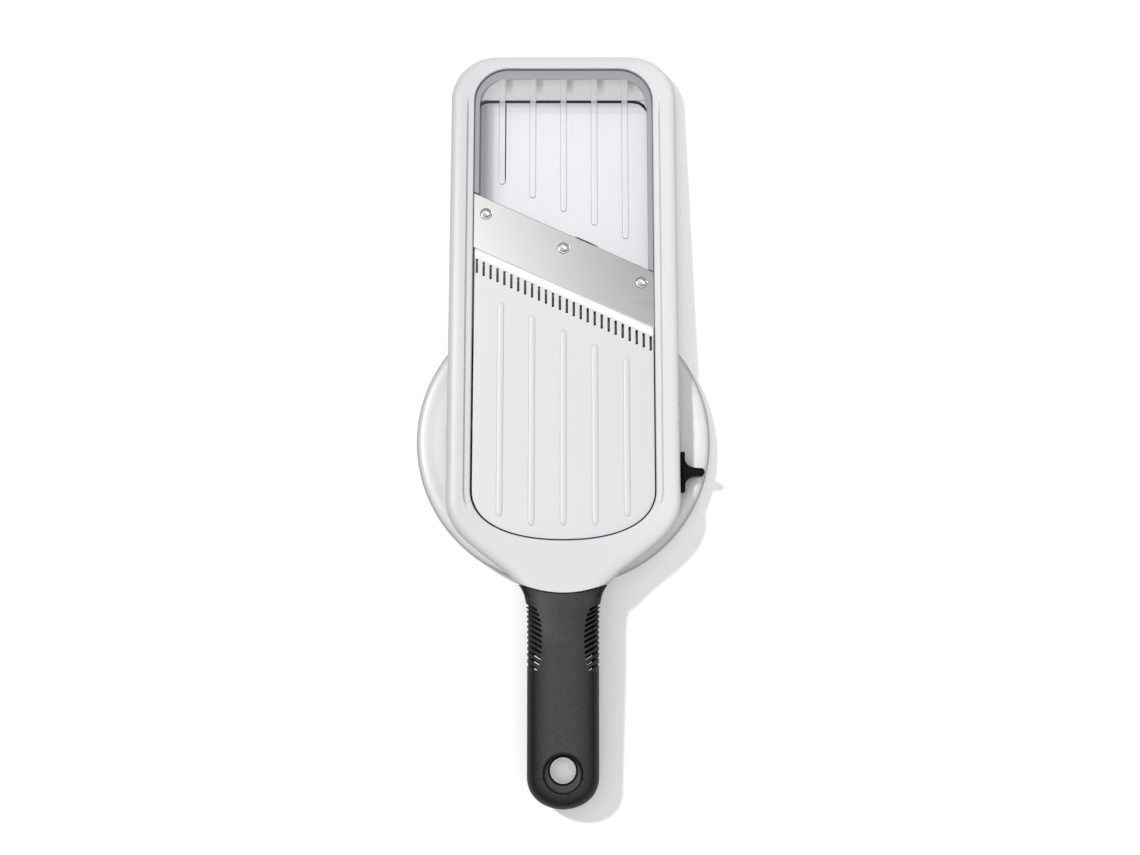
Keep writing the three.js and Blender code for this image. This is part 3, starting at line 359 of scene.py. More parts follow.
def shaded_ribs(finish, tone):
    """A soft shade to the right of each rib, toward the far wall."""
    pitches = finish.reckon("MULTIPLY_ADD", finish.axis(finish.place, "X"), 1000 / GUIDE_PITCH, 10)
    band = finish.node("ShaderNodeValToRGB")
    band.color_ramp.interpolation = "EASE"
    for place, level in RIB_SHADE_STOPS:
        stop = band.color_ramp.elements.new(place)
        stop.color = (level, level, level, 1)
    band.color_ramp.elements[0].color = band.color_ramp.elements[-1].color = (0, 0, 0, 1)
    finish.link(finish.reckon("FRACT", pitches), band.inputs["Fac"])
    start, end = RIB_SHADE_Y
    upper = finish.graded(finish.axis(finish.place, "Y"), start / 1000, end / 1000, 0, 0.7)
    return finish.mixed(finish.reckon("MULTIPLY", band.outputs["Color"], upper), tone, RIB_SHADE_COLOR)


def clear_plastic(name, face_on, edge_on, low_alpha, high_alpha, left_shade=False, rib_shade=False):
    """Clear plastic, denser and darker where its surface is seen at a slant."""
    finish = Finish(name).set(Roughness=0.06, IOR=1.49)
    facing = finish.node("ShaderNodeLayerWeight")
    facing.inputs["Blend"].default_value = 0.42
    tone = finish.ramp(facing.outputs["Facing"], (*face_on, 1), (*edge_on, 1), 0.1, 0.9)
    density = finish.span(facing.outputs["Facing"], low_alpha, high_alpha)
    if left_shade:
        tone, density = shaded_left(finish, tone, density)
    if rib_shade:
        tone = shaded_ribs(finish, tone)
    finish.link(tone, finish.shader.inputs["Base Color"])
    finish.link(density, finish.shader.inputs["Alpha"])
    finish.link(finish.span(finish.noise(500, 3), 0.04, 0.1), finish.shader.inputs["Roughness"])
    finish.bump(finish.noise(90, 2), 0.00006, 0.3)
    return finish.material


# lean is painted light: the white is darker toward the left and lighter toward the right.
white = moulded("white_abs", (0.592, 0.592, 0.606), 0.42, lean=0.13)
table_white = moulded("table_white", (0.59, 0.602, 0.613), 0.42, 0.0, 0.86)
# A brighter white on the lip's sloped faces, as painted light.
lip_painted_light = moulded("lip_painted_light", (0.80, 0.80, 0.80), 0.35)
# The holder takes strong painted shade on its steep outer slopes; holder_inner, inside the crest, takes
# little.
holder_white = moulded("holder_white", (0.66, 0.66, 0.67), 0.22, 0.3, 0.46, 0.3)
holder_inner = moulded("holder_inner", (0.66, 0.66, 0.67), 0.22, 0.3, 0.92)
# The handle's steep faces darken as painted shade; fin_black gives the finger fins less of it.
charcoal = soft_touch("soft_black", (0.043, 0.0425, 0.0405), 0.5, 0.22)
fin_black = soft_touch("fin_black", (0.043, 0.0425, 0.0405), 0.5, 0.22, 0.36)
hard_black = soft_touch("hard_black", (0.006, 0.006, 0.0058), 0.36, 0.05)
# The eyelet's inner wall is a grey that glows, as painted light on a part that is no lamp.
eyelet_painted_glow = moulded("eyelet_painted_glow", (0.5, 0.5, 0.505), 0.16, 0.2, 1.0, glow=0.4)
# Painted shade for the walls inside the table's slots and the handle's finger slots.
painted_slot_shade = soft_touch("slot_shade", (0.006, 0.006, 0.0065), 0.7, 0.1)
grey_plastic = moulded("grey_plastic", (0.30, 0.305, 0.31), 0.45)
dark_grey = moulded("dark_grey", (0.06, 0.06, 0.062), 0.5)
# Steel darkened as painted shade, for the comb down in the slots.
painted_shade_steel = brushed_steel("comb_steel", (0.16, 0.16, 0.165), 0.4)
steel = brushed_steel("blade_steel", (0.75, 0.748, 0.738), 0.19, (0.03, 1, 1))
spring_steel = brushed_steel("spring_steel", (0.62, 0.62, 0.61), 0.3)
polished = brushed_steel("pin_steel", (0.66, 0.66, 0.65), 0.24, (1, 1, 1))
# left_shade paints the left wall's shadow into the clear panel.
clear = clear_plastic("clear", (0.86, 0.855, 0.885), (0.45, 0.45, 0.5), 0.34, 0.9, left_shade=True)
clear_wall = clear_plastic("clear_wall", (0.325, 0.32, 0.345), (0.16, 0.157, 0.18), 0.86, 0.96)
clear_slope = clear_plastic("clear_slope", (0.64, 0.65, 0.645), (0.36, 0.37, 0.38), 0.55, 0.9,
                            rib_shade=True)
clear_edge = clear_plastic("clear_edge", (0.19, 0.18, 0.23), (0.11, 0.11, 0.14), 0.72, 0.94)
# clear_line is near black, for the panel's dark lines; at the slope's foot it is painted shade.
clear_line = clear_plastic("clear_line", (0.008, 0.008, 0.009), (0.006, 0.006, 0.007), 1.0, 1.0)

# ---------------------------------------------------------------- mesh helpers

# Shapes are made as loose objects in millimetres, joined or cut as solids, and then placed by dressed().


def shape_from(points, faces):
    made = bpy.data.meshes.new("shape")
    made.from_pydata([tuple(p) for p in points], [], faces)
    tidy = bmesh.new()
    tidy.from_mesh(made)
    bmesh.ops.remove_doubles(tidy, verts=tidy.verts, dist=1e-5)
    bmesh.ops.recalc_face_normals(tidy, faces=tidy.faces)
    tidy.to_mesh(made)
    tidy.free()
    shape = bpy.data.objects.new("shape", made)
    bpy.context.scene.collection.objects.link(shape)
    return shape


def loft(rings):
    """A closed solid through rings of equal count, with flat ends."""
    count = len(rings[0])
    points = [p for ring in rings for p in ring]
    faces = [list(range(count)), list(range(len(points) - count, len(points)))]
    for i in range(len(rings) - 1):
        for j in range(count):
            k = (j + 1) % count
            faces.append((i * count + j, i * count + k, (i + 1) * count + k, (i + 1) * count + j))
    return shape_from(points, faces)


def plate(outline, low, high):
    """A plan outline made into a plate between two heights."""
    return loft([[(x, y, z) for x, y in outline] for z in (low, high)])


def across(outline, from_x, to_x):
    """A side outline, as (y, z) points, run across from one x to another."""
    return loft([[(x, y, z) for y, z in outline] for x in (from_x, to_x)])


def block(low_x, high_x, low_y, high_y, low_z, high_z, edge=0.0):
    made = plate([(low_x, low_y), (high_x, low_y), (high_x, high_y), (low_x, high_y)], low_z, high_z)
    if edge:
        round_edges(made, edge)
    return made


def circle(r, sides):
    turns = [2 * math.pi * i / sides for i in range(sides)]
    return [(r * math.cos(turn), r * math.sin(turn)) for turn in turns]


def upright(x, y, low, high, r, sides=48):
    return plate([(x + a, y + b) for a, b in circle(r, sides)], low, high)


def crosswise(low_x, high_x, y, z, r, sides=32):
    return across([(y + a, z + b) for a, b in circle(r, sides)], low_x, high_x)


def turned(profile, x, y, sides=96):
    """A profile of (radius, z) points turned about an upright axis. It starts and ends there, or closes."""
    points, faces = [], []
    count = len(profile)
    for i in range(sides):
        angle = 2 * math.pi * i / sides
        points += [(x + r * math.cos(angle), y + r * math.sin(angle), z) for r, z in profile]
    closed = profile[0][0] > 0
    for i in range(sides):
        near, far = i * count, (i + 1) % sides * count
        for j in range(count if closed else count - 1):
            k = (j + 1) % count
            faces.append((near + j, near + k, far + k, far + j))
    return shape_from(points, faces)


def round_edges(shape, width, segments=2, angle=32):
    bevel = shape.modifiers.new("edges", "BEVEL")
    bevel.width = width
    bevel.segments = segments
    bevel.limit_method = "ANGLE"
    bevel.angle_limit = math.radians(angle)
    bevel.use_clamp_overlap = False
    apply_modifiers(shape)
    return shape


def apply_modifiers(shape):
    graph = bpy.context.evaluated_depsgraph_get()
    made = bpy.data.meshes.new_from_object(shape.evaluated_get(graph))
    shape.modifiers.clear()
    shape.data = made


def combine(first, others, operation):
    for other in others:
        step = first.modifiers.new("solid", "BOOLEAN")
        step.operation = operation
        step.solver = "MANIFOLD"
        step.object = other
    apply_modifiers(first)
    for other in others:
        bpy.data.objects.remove(other)
    return first


def join(first, *others):
    return combine(first, others, "UNION")


def cut(first, *others):
    return combine(first, others, "DIFFERENCE")


def common(first, *others):
    return combine(first, others, "INTERSECT")


def sheared(shape):
    """A bar that runs straight across, sheared to run along the blade."""
    shape.data.transform(Matrix(((1, 0, 0, 0), (-BLADE_SLANT, 1, 0, 0), (0, 0, 1, 0), (0, 0, 0, 1))))
    return shape


def dressed(shape, name, material, *nodes, sharp=34, also=()):
    """Places a finished shape in the row frame as the piece that stands for the named CAD nodes.

    Each entry of also is a material and the test that picks its faces by middle and normal.
    """
    made = shape.data
    made.materials.clear()
    made.materials.append(material)
    picks = [0] * len(made.polygons)
    for index, (extra, test) in enumerate(also, 1):
        made.materials.append(extra)
        for face in made.polygons:
            if test(face.center, face.normal):
                picks[face.index] = index
    made.polygons.foreach_set("material_index", picks)
    made.transform(LEVEL)
    tidy = bmesh.new()
    tidy.from_mesh(made)
    bmesh.ops.remove_doubles(tidy, verts=tidy.verts, dist=1e-7)
    bmesh.ops.recalc_face_normals(tidy, faces=tidy.faces)
    for edge in tidy.edges:
        edge.smooth = edge.calc_face_angle(math.pi) < math.radians(sharp)
    for face in tidy.faces:
        face.smooth = True
    tidy.to_mesh(made)
    tidy.free()
    made.name = name
    shape.name = name
    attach(shape, frame["nodes"][nodes[0]]["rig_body"])
    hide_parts(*nodes)
    weighted = shape.modifiers.new("normals", "WEIGHTED_NORMAL")
    weighted.keep_sharp = True
    apply_modifiers(shape)
    return shape


def arc(cx, cy, r, a, b, steps=12):
    return [(cx + r * math.cos(a + (b - a) * i / steps), cy + r * math.sin(a + (b - a) * i / steps))
            for i in range(steps + 1)]


def bezier(p0, p1, p2, p3, steps=24):
    made = []
    for i in range(steps + 1):
        t = i / steps
        weights = ((1 - t) ** 3, 3 * t * (1 - t) ** 2, 3 * t * t * (1 - t), t ** 3)
        made.append(tuple(sum(w * p[k] for w, p in zip(weights, (p0, p1, p2, p3))) for k in (0, 1)))
    return made


def mirrored(right):
    return right + [(-x, y) for x, y in reversed(right) if x > 1e-6]


def slant_at(x):
    return -BLADE_SLANT * x


def smooth(value, low, high):
    t = min(1.0, max(0.0, (value - low) / (high - low)))
    return t * t * (3 - 2 * t)


def lerp(a, b, t):
    return a + (b - a) * t


table_half = CHANNEL_HALF - 0.6
table_bottom = DECK_Z - 2.0
blade_front_y = BLADE_Y - BLADE_REACH / 2
blade_back_y = BLADE_Y + BLADE_REACH / 2
slots_y = blade_front_y - LIP - SLOT_LENGTH / 2
slot_span = 2 * (CHANNEL_HALF - SLOT_MARGIN)
guide_xs = [(i - 2) * GUIDE_PITCH for i in range(5)]
pin_places = [(x, BLADE_Y + PIN_ABOVE_MIDDLE + slant_at(x)) for x in (-PIN_X, 0, PIN_X)]
rail_x = CHANNEL_HALF - GAP - RAIL_PIECE / 2 - 0.1
arm_middle = (ARM_LOW + ARM_HIGH) / 2
hollow_middle = (CHANNEL_HALF + INNER_WALL + BODY_HALF - OUTER_WALL) / 2


def channel_outline(grow=0.0, end_gap=0.0):
    half = CHANNEL_HALF + grow
    end_y = CHANNEL_END_Y - grow + end_gap
    r = FAR_INNER_R + grow
    far_y = CHANNEL_FAR_Y + grow
    curve = bezier((0, end_y), (half * 0.6, end_y), (half, end_y + CHANNEL_ROUND * 0.34),
                   (half, CHANNEL_END_Y + CHANNEL_ROUND), 32)
    return mirrored(curve + arc(half - r, far_y - r, r, 0, math.pi / 2, 16))


def slanted_strip(half, near_y, far_y):
    return [(-half, near_y + slant_at(-half)), (half, near_y + slant_at(half)),
            (half, far_y + slant_at(half)), (-half, far_y + slant_at(-half))]


# ---------------------------------------------------------------- frame


def axis_z(y):
    return HANDLE_START_Z + (y - NECK_Y) * HANDLE_DROOP


def handle_section(y):
    """Half width and half thickness of the handle at y."""
    past = NECK_Y - y
    settle = 1 - math.exp(-max(0.0, past) / 5)
    to_end = min(1.0, max(0.0, (y - HANDLE_END_Y) / (HANDLE_HALF_WIDTH * 0.92)))
    end_round = math.sqrt(1 - (1 - to_end) ** 2.3)
    half_width = lerp(NECK_HALF_WIDTH, HANDLE_HALF_WIDTH, settle) * end_round
    half_thickness = lerp(NECK_HALF_THICKNESS, HANDLE_HALF_THICKNESS, smooth(past, 0, 32))
    return half_width, half_thickness * max(0.3, end_round ** 0.7)


def section_ring(y, half_width, half_thickness, middle, sides=96, power=SECTION_POWER):
    ring = []
    for i in range(sides):
        angle = 2 * math.pi * i / sides
        c, s = math.cos(angle), math.sin(angle)
        ring.append((half_width * math.copysign(abs(c) ** (2 / power), c), y,
                     middle + half_thickness * math.copysign(abs(s) ** (2 / power), s)))
    return ring


def seam_y(x, shift=0.0):
    """The seam between neck and grip, which bows toward the handle."""
    reach = NECK_HALF_WIDTH + 4
    end = SEAM_SIDE_Y + (SEAM_SIDE_Y - SEAM_MIDDLE_Y) * 0.3
    return SEAM_MIDDLE_Y + (end - SEAM_MIDDLE_Y) * (x / reach) ** 2 - shift


def seam_corner():
    """Where the seam meets the side of the neck."""
    x = NECK_HALF_WIDTH
    for _ in range(12):
        x = handle_section(seam_y(x))[0]
    return x, seam_y(x)


def bottom_at(y):
    rise = (FAR_BOTTOM - WALL_BOTTOM) / (FAR_END_Y - TAPER_START_Y)
    return WALL_BOTTOM + max(0.0, y - TAPER_START_Y) * rise


def rim_stations():
    """Matching points round the frame, outer edge and channel edge, with a name for each stretch."""
    corner_x, corner_y = seam_corner()
    funnel = bezier((NECK_HALF_WIDTH, NECK_Y), (NECK_HALF_WIDTH + 9.5, NECK_Y + 10.3),
                    (BODY_HALF, SIDE_END_Y - 19), (BODY_HALF, SIDE_END_Y), 36)
    under = [(handle_section(y)[0], y) for y in (lerp(corner_y, NECK_Y, i / 3) for i in range(3))]
    outer, inner, part = [], [], []
    curve = bezier((0, CHANNEL_END_Y), (CHANNEL_HALF * 0.6, CHANNEL_END_Y),
                   (CHANNEL_HALF, CHANNEL_END_Y + CHANNEL_ROUND * 0.34),
                   (CHANNEL_HALF, CHANNEL_END_Y + CHANNEL_ROUND), 64)
    seam_steps = 18
    for i in range(seam_steps):
        x = corner_x * i / seam_steps
        outer.append((x, seam_y(x)))
        inner.append(curve[i])
        part.append("seam")
    side = under + funnel
    for i, point in enumerate(side):
        outer.append(point)
        inner.append(curve[min(64, seam_steps + round((64 - seam_steps) * i / (len(side) - 1)))])
        part.append("side")
    straight = 44
    for i in range(1, straight + 1):
        t = i / straight
        outer.append((BODY_HALF, lerp(SIDE_END_Y, FAR_END_Y - FAR_CORNER_R, t)))
        inner.append((CHANNEL_HALF, lerp(CHANNEL_END_Y + CHANNEL_ROUND, CHANNEL_FAR_Y - FAR_INNER_R, t)))
        part.append("side")
    quarter = (0, math.pi / 2, 24)
    outer += arc(BODY_HALF - FAR_CORNER_R, FAR_END_Y - FAR_CORNER_R, FAR_CORNER_R, *quarter)[1:]
    inner += arc(CHANNEL_HALF - FAR_INNER_R, CHANNEL_FAR_Y - FAR_INNER_R, FAR_INNER_R, *quarter)[1:]
    part += ["side"] * 24
    for i in range(1, 9):
        outer.append((lerp(BODY_HALF - FAR_CORNER_R, 0, i / 8), FAR_END_Y))
        inner.append((lerp(CHANNEL_HALF - FAR_INNER_R, 0, i / 8), CHANNEL_FAR_Y))
        part.append("side")
    side_line = [(handle_section(y)[0], y) for y in (NECK_Y - 20 + 2 * i for i in range(10))] + \
        [p for p, kind in zip(outer, part) if kind == "side"]
    return outer, inner, part, side_line


def distance_to(line, x, y):
    best = 1e9
    for (ax, ay), (bx, by) in zip(line, line[1:]):
        dx, dy = bx - ax, by - ay
        t = min(1.0, max(0.0, ((x - ax) * dx + (y - ay) * dy) / (dx * dx + dy * dy + 1e-12)))
        best = min(best, math.hypot(x - ax - t * dx, y - ay - t * dy))
    return best


def shoulder(distance):
    """Height of the rim's top at a distance in from the side."""
    if distance >= RIM_ROUND:
        return RIM_TOP
    return RIM_TOP * (1 - (1 - distance / RIM_ROUND) ** RIM_POWER) ** (1 / RIM_POWER)


def rail_drop(from_channel):
    """How far the top has dropped from the rim to the rail, with a small round at the step and the edge."""
    step = (RIM_TOP - RAIL_TOP) * (1 - smooth(from_channel, RAIL_WIDTH - 0.5, RAIL_WIDTH + 0.5))
    return step + 0.5 * (1 - smooth(from_channel, 0, 0.5)) ** 2


def rim_section(place, channel, kind, side_line):
    """One closed cross-section of the hollow rim, as (x, y, z) points from the outer wall over the top."""
    length = math.dist(place, channel)
    way = ((channel[0] - place[0]) / length, (channel[1] - place[1]) / length)
    y = place[1]
    neck = 1 - smooth(y, NECK_Y + 2, NECK_Y + 26)
    hollow = smooth(y, NECK_Y + 12, NECK_Y + 22) if kind == "side" else 0.0
    rail = smooth(channel[1], RAIL_START_Y - 3, RAIL_START_Y)
    rail *= 1 - smooth(channel[1], RAIL_END_Y - 6, RAIL_END_Y)
    if kind == "seam":
        drop = (1 - (place[0] / (NECK_HALF_WIDTH + 0.6)) ** SECTION_POWER) ** (1 / SECTION_POWER)
        low = HANDLE_START_Z - NECK_HALF_THICKNESS * drop
    else:
        low = lerp(bottom_at(y), HANDLE_START_Z - 3.2, neck)
    section = []

    def add(inward, z):
        section.append((place[0] + way[0] * inward, place[1] + way[1] * inward, z))

    if kind == "seam":
        top = shoulder(distance_to(side_line, *place)) - 0.3
        wall = [(0.0, lerp(low, top, t)) for t in (0, 0.1, 0.25, 0.4, 0.55, 0.7, 0.85)]
    else:
        top = 0.0
        wall = []
        for t in (1, 0.93, 0.82, 0.68, 0.5, 0.3, 0.12):
            z = low * t
            wall.append((neck * 7 * (1 - math.sqrt(1 - t * t)) + 0.4 * (t > 0.97) * (1 - neck), z))
    for inward, z in wall:
        add(inward, z)
    add(0, top)
    reach = length - RAIL_WIDTH - 0.7
    round_end = min(RIM_ROUND + 0.4, reach)
    tops = [round_end * t for t in (0.006, 0.025, 0.06, 0.11, 0.17, 0.25, 0.34, 0.45, 0.57, 0.7, 0.84, 1)]
    tops += [lerp(round_end, reach, t) for t in (0.2, 0.4, 0.6, 0.8, 1.0)]
    tops += [length - RAIL_WIDTH + e for e in (-0.5, -0.25, 0, 0.25, 0.5)]
    tops += [length - e for e in (2.0, 0.55, 0.4, 0.25, 0.12, 0.0)]
    for inward in tops:
        x, py = place[0] + way[0] * inward, place[1] + way[1] * inward
        z = shoulder(distance_to(side_line, abs(x), py))
        edge = 0.5 * (1 - smooth(length - inward, 0, 0.5)) ** 2
        add(inward, z - (rail_drop(length - inward) - edge) * rail - edge)
    inner_low = bottom_at(channel[1])
    add(length, lerp(RAIL_TOP, inner_low, 0.5))
    add(length, inner_low + 0.3)
    add(length - 0.3, inner_low)
    add(length - INNER_WALL, inner_low)
    base = lerp(inner_low, bottom_at(y), 0.5)
    skin = lerp(base, RIM_SKIN_Z, hollow)
    add(length - INNER_WALL, skin)
    add(max(OUTER_WALL, 7.6 * neck), lerp(low, skin, hollow))
    add(max(OUTER_WALL, 7.6 * neck), low)
    return section


def frame_ring():
    outer, inner, part, side_line = rim_stations()
    sections = [rim_section(o, i, kind, side_line) for o, i, kind in zip(outer, inner, part)]
    left = [[(-x, y, z) for x, y, z in section] for section in sections[1:-1]]
    sections += list(reversed(left))
    count = len(sections[0])
    points = [p for section in sections for p in section]
    faces = []
    for i in range(len(sections)):
        near, far = i * count, (i + 1) % len(sections) * count
        for j in range(count):
            k = (j + 1) % count
            faces.append((near + j, near + k, far + k, far + j))
    return shape_from(points, faces)


def tongue(grow=0.0):
    half_width, half_thickness = TONGUE_HALF_WIDTH + grow, TONGUE_HALF_THICKNESS + grow
    return loft([section_ring(y, half_width, half_thickness, axis_z(y), 40, 3)
                 for y in (NECK_Y + 2, TONGUE_END_Y - grow)])


def frame_shell():
    ring = frame_ring()
    additions = [tongue()]
    for side in (-1, 1):
        x, y = pin_places[1 + side]
        ends = sorted((side * (PIN_X - PIN_R - 2.3), side * (CHANNEL_HALF + 0.6)))
        additions.append(block(*ends, y - 7, y + 7, PIN_FOOT_Z + 1, WINDOW_BOTTOM - GAP, 0.4))
        track = sorted((side * (CHANNEL_HALF - 4.4), side * (CHANNEL_HALF + 0.6)))
        additions.append(block(*track, -34.5, 33.5, WALL_BOTTOM, TRACK_Z, 0.25))
        post = side * POST_X
        additions.append(block(post - 2, post + 2, HINGE_Y - 3.4, HINGE_Y + 3.4,
                               WALL_BOTTOM + 1.6, HINGE_Z + 3.2, 0.4))
    ledge = common(plate(channel_outline(0.5), bottom_at(CHANNEL_FAR_Y) + 0.1, WINDOW_BOTTOM - GAP),
                   block(-WIDE, WIDE, CHANNEL_FAR_Y - 16.6, CHANNEL_FAR_Y + 2, -10, 5))
    web = common(plate(channel_outline(0.5), WALL_BOTTOM, WALL_BOTTOM + 1.8),
                 block(-WIDE, WIDE, CHANNEL_END_Y - 2, HINGE_Y + 9, -20, 5))
    shape = join(ring, ledge, web, *additions)
    low, high = LEVER_Y - ARM_LENGTH / 2 - 2 * GAP, LEVER_Y + LEVER_TRAVEL + ARM_LENGTH / 2 + 2 * GAP
    slot_half = (ARM_HIGH - ARM_LOW) / 2 + GAP
    slot = across([*arc(high - slot_half, arm_middle, slot_half, -math.pi / 2, math.pi / 2, 10),
                   *arc(low + slot_half, arm_middle, slot_half, math.pi / 2, 3 * math.pi / 2, 10)],
                  CHANNEL_HALF - 3, BODY_HALF + 2)
    cuts = [slot, crosswise(-POST_X - 4, POST_X + 4, HINGE_Y, HINGE_Z, 2.1)]
    cuts += [upright(x, y, -20, 5, PIN_R + GAP) for x, y in pin_places]
    cuts += [upright(x, PANEL_SCREW_Y, -20, 0, SCREW_R, 24) for x in (-PANEL_SCREW_X, PANEL_SCREW_X)]
    dressed(cut(shape, *cuts), "frame_shell_fine", white, "frame_shell")
    marks = [block(BODY_HALF - 1.0, BODY_HALF - 0.25, y, y + 1.6, 1.2, 2.6) for y in (0.5, 9.5)]
    dressed(join(*marks), "setting_marks", grey_plastic, "frame_shell")


# ---------------------------------------------------------------- window, blade and pins


def stadium(x, near_y, far_y, half, low, high, edge):
    outline = arc(x, far_y - half, half, 0, math.pi)
    outline += arc(x, near_y + half, half, math.pi, 2 * math.pi)
    return round_edges(plate(outline, low, high), edge, 3, 50)


def fine_line(path, half):
    """A thin black strip in the clear panel, tapered at both ends."""
    rings = []
    for i, (x, y) in enumerate(path):
        before, after = path[max(0, i - 1)], path[min(len(path) - 1, i + 1)]
        run = math.dist(before, after)
        way = ((before[1] - after[1]) / run, (after[0] - before[0]) / run)
        w = half * (0.35 if i in (0, len(path) - 1) else 1)
        low, high = DECK_Z - 0.1, DECK_Z + 0.12
        rings.append([(x + way[0] * w * s, y + way[1] * w * s, z)
                      for s, z in ((-1, low), (1, low), (1, high), (-1, high))])
    return loft(rings)


def window_panel():
    inner_half = CHANNEL_HALF - GAP - WINDOW_WALL
    inner_far = CHANNEL_FAR_Y - GAP - WINDOW_FAR_WALL
    r = FAR_INNER_R - 4
    opening_line = mirrored([(inner_half, -50), *arc(inner_half - r, inner_far - r, r, 0, math.pi / 2, 16)])
    behind = slanted_strip(WIDE, blade_front_y + LIP + 2, FAR_END_Y + 80)
    base = common(plate(channel_outline(-GAP), WINDOW_BOTTOM, DECK_Z), plate(behind, -10, 10))
    walls = cut(plate(channel_outline(-GAP), DECK_Z - 0.5, WINDOW_WALL_TOP), plate(opening_line, 0, 6))
    beyond_blade = plate(slanted_strip(WIDE, blade_back_y + GAP, FAR_END_Y + 80), -10, 10)
    walls = round_edges(common(walls, beyond_blade), 0.5, 3, 50)
    under_blade = BLADE_TOP - BLADE_THICKNESS - GAP
    recess = plate(slanted_strip(WIDE, blade_front_y - 5, blade_back_y + GAP), under_blade, 10)
    foot_y = inner_far - WINDOW_SLOPE
    wedge = [(foot_y, DECK_Z - 0.3), (inner_far + 0.5, DECK_Z - 0.3),
             (inner_far + 0.5, WINDOW_WALL_TOP - 0.3), (foot_y + 0.2, DECK_Z + 0.35)]
    slope = common(across(wedge, -inner_half - 0.5, inner_half + 0.5),
                   plate(channel_outline(-GAP - 0.5), 0, 6))
    ribs = [stadium(x, blade_back_y + slant_at(x) + 11.4, inner_far - 3, GUIDE_WIDTH / 2, DECK_Z - 0.4,
                    DECK_Z + GUIDE_HEIGHT, 0.28) for x in guide_xs]
    rise = [(foot_y - 0.5, DECK_Z + 0.2), (inner_far + 0.4, WINDOW_WALL_TOP - 0.9),
            (inner_far + 0.4, WINDOW_WALL_TOP), (foot_y - 0.5, DECK_Z + GUIDE_HEIGHT)]
    ribs += [round_edges(across(rise, x - GUIDE_WIDTH / 2, x + GUIDE_WIDTH / 2), 0.3, 3, 50)
             for x in guide_xs]
    shape = join(cut(base, recess), walls, slope, *ribs)
    holes = [upright(x, y, -12, 12, PIN_R + GAP) for x, y in pin_places]
    holes += [upright(x, PANEL_SCREW_Y, WINDOW_BOTTOM - 1, DECK_Z - 0.8, SCREW_R, 24)
              for x in (-PANEL_SCREW_X, PANEL_SCREW_X)]
    dressed(cut(shape, *holes), "window_panel_fine", clear, "window_panel", also=(
        (clear_slope, lambda middle, normal: middle.z > DECK_Z + 0.05 and middle.y > foot_y - 0.3),
        (clear_wall, lambda middle, normal: middle.z > WINDOW_WALL_TOP - 0.15 or middle.z > DECK_Z + 0.05
         and (abs(middle.x) > inner_half - 0.1 or middle.y > inner_far - 0.1
              or math.hypot(abs(middle.x) - inner_half + r, middle.y - inner_far + r) > r - 0.1
              and abs(middle.x) > inner_half - r and middle.y > inner_far - r)),
        (clear_edge, lambda middle, normal: abs(normal.z) < 0.93 and DECK_Z - 0.3 < middle.z < DECK_Z + 0.9
         and middle.y < foot_y + 0.3)))
    window_dark_lines(foot_y)


def window_dark_lines(foot_y):
    """Black strips in the clear panel: at the foot of the slope, where they are painted shade at the bend,
    beside the first rib and at the blade's back edge.
    """
    bend = [(-44.2, foot_y - 3.7), (-43.2, foot_y - 1.9), (-41.2, foot_y - 0.8), (-38, foot_y - 0.5),
            (36, foot_y - 0.5), (39.5, foot_y - 1.1), (42, foot_y - 2.9), (43.6, foot_y - 5.7)]
    rib_end = blade_back_y + slant_at(guide_xs[0]) + 12.4
    rib_side = guide_xs[0] + GUIDE_WIDTH / 2 + 0.25
    beside = [(rib_side, y) for y in (foot_y - 0.4, foot_y - 4, rib_end + 4, rib_end)]
    at_blade = [(x, blade_back_y + slant_at(x) + 0.75) for x in (6, 8, 14, 18)]
    lines = join(fine_line(bend, 0.78), fine_line(beside, 0.26), fine_line(at_blade, 0.3))
    dressed(lines, "window_dark_lines", clear_line, "window_panel")


def slicing_blade():
    half = CHANNEL_HALF - GAP
    low = BLADE_TOP - BLADE_THICKNESS
    body = plate(slanted_strip(half, blade_front_y, blade_back_y), low, BLADE_TOP)
    bevel = [(-3, low - 1), (2.4, low - 1), (2.4, low), (-0.4, BLADE_TOP - 0.15), (-3, BLADE_TOP - 0.15)]
    grind = sheared(across([(blade_front_y + y, z) for y, z in bevel], -WIDE, WIDE))
    shape = cut(body, *[upright(x, y, -12, 12, PIN_R + GAP, 64) for x, y in pin_places])
    round_edges(shape, 0.12, 2, 50)
    dressed(cut(shape, grind), "slicing_blade_fine", steel, "slicing_blade")


def blade_pins():
    """Polished pins with a dished head inside a thin raised rim."""
    top = BLADE_TOP - 0.25
    for (x, y), side in zip(pin_places, ("left", "mid", "right")):
        dish = [(PIN_R * 0.74 * t, top - 0.62 + 0.5 * t ** 2.4) for t in (0, 0.2, 0.4, 0.6, 0.8, 1)]
        profile = [(0, PIN_FOOT_Z), (PIN_R - 0.2, PIN_FOOT_Z), (PIN_R, PIN_FOOT_Z + 0.2), (PIN_R, top - 0.25),
                   (PIN_R - 0.08, top - 0.08), (PIN_R - 0.25, top), (PIN_R * 0.8, top), *reversed(dish)]
        dressed(turned(profile, x, y, 64), f"blade_pin_{side}_fine", polished, f"blade_pin_{side}")


# ---------------------------------------------------------------- feed table


def soft_rib(x, near_y, far_y, half, height, z):
    """A guide rib with a half-round section and tapered ends."""
    rings = []
    length = far_y - near_y
    for i in range(33):
        t = 0.5 - 0.5 * math.cos(math.pi * i / 32)
        along = min(t, 1 - t) * length
        full = math.sqrt(1 - (1 - min(1.0, along / (1.5 * half))) ** 2) if along < 1.5 * half else 1.0
        full = max(full, 0.02)
        rings.append([(x + half * full * math.cos(math.pi * k / 12), near_y + t * length,
                       z + height * full * math.sin(math.pi * k / 12)) for k in range(13)]
                     + [(x, near_y + t * length, z - 0.4)])
    return loft(rings)


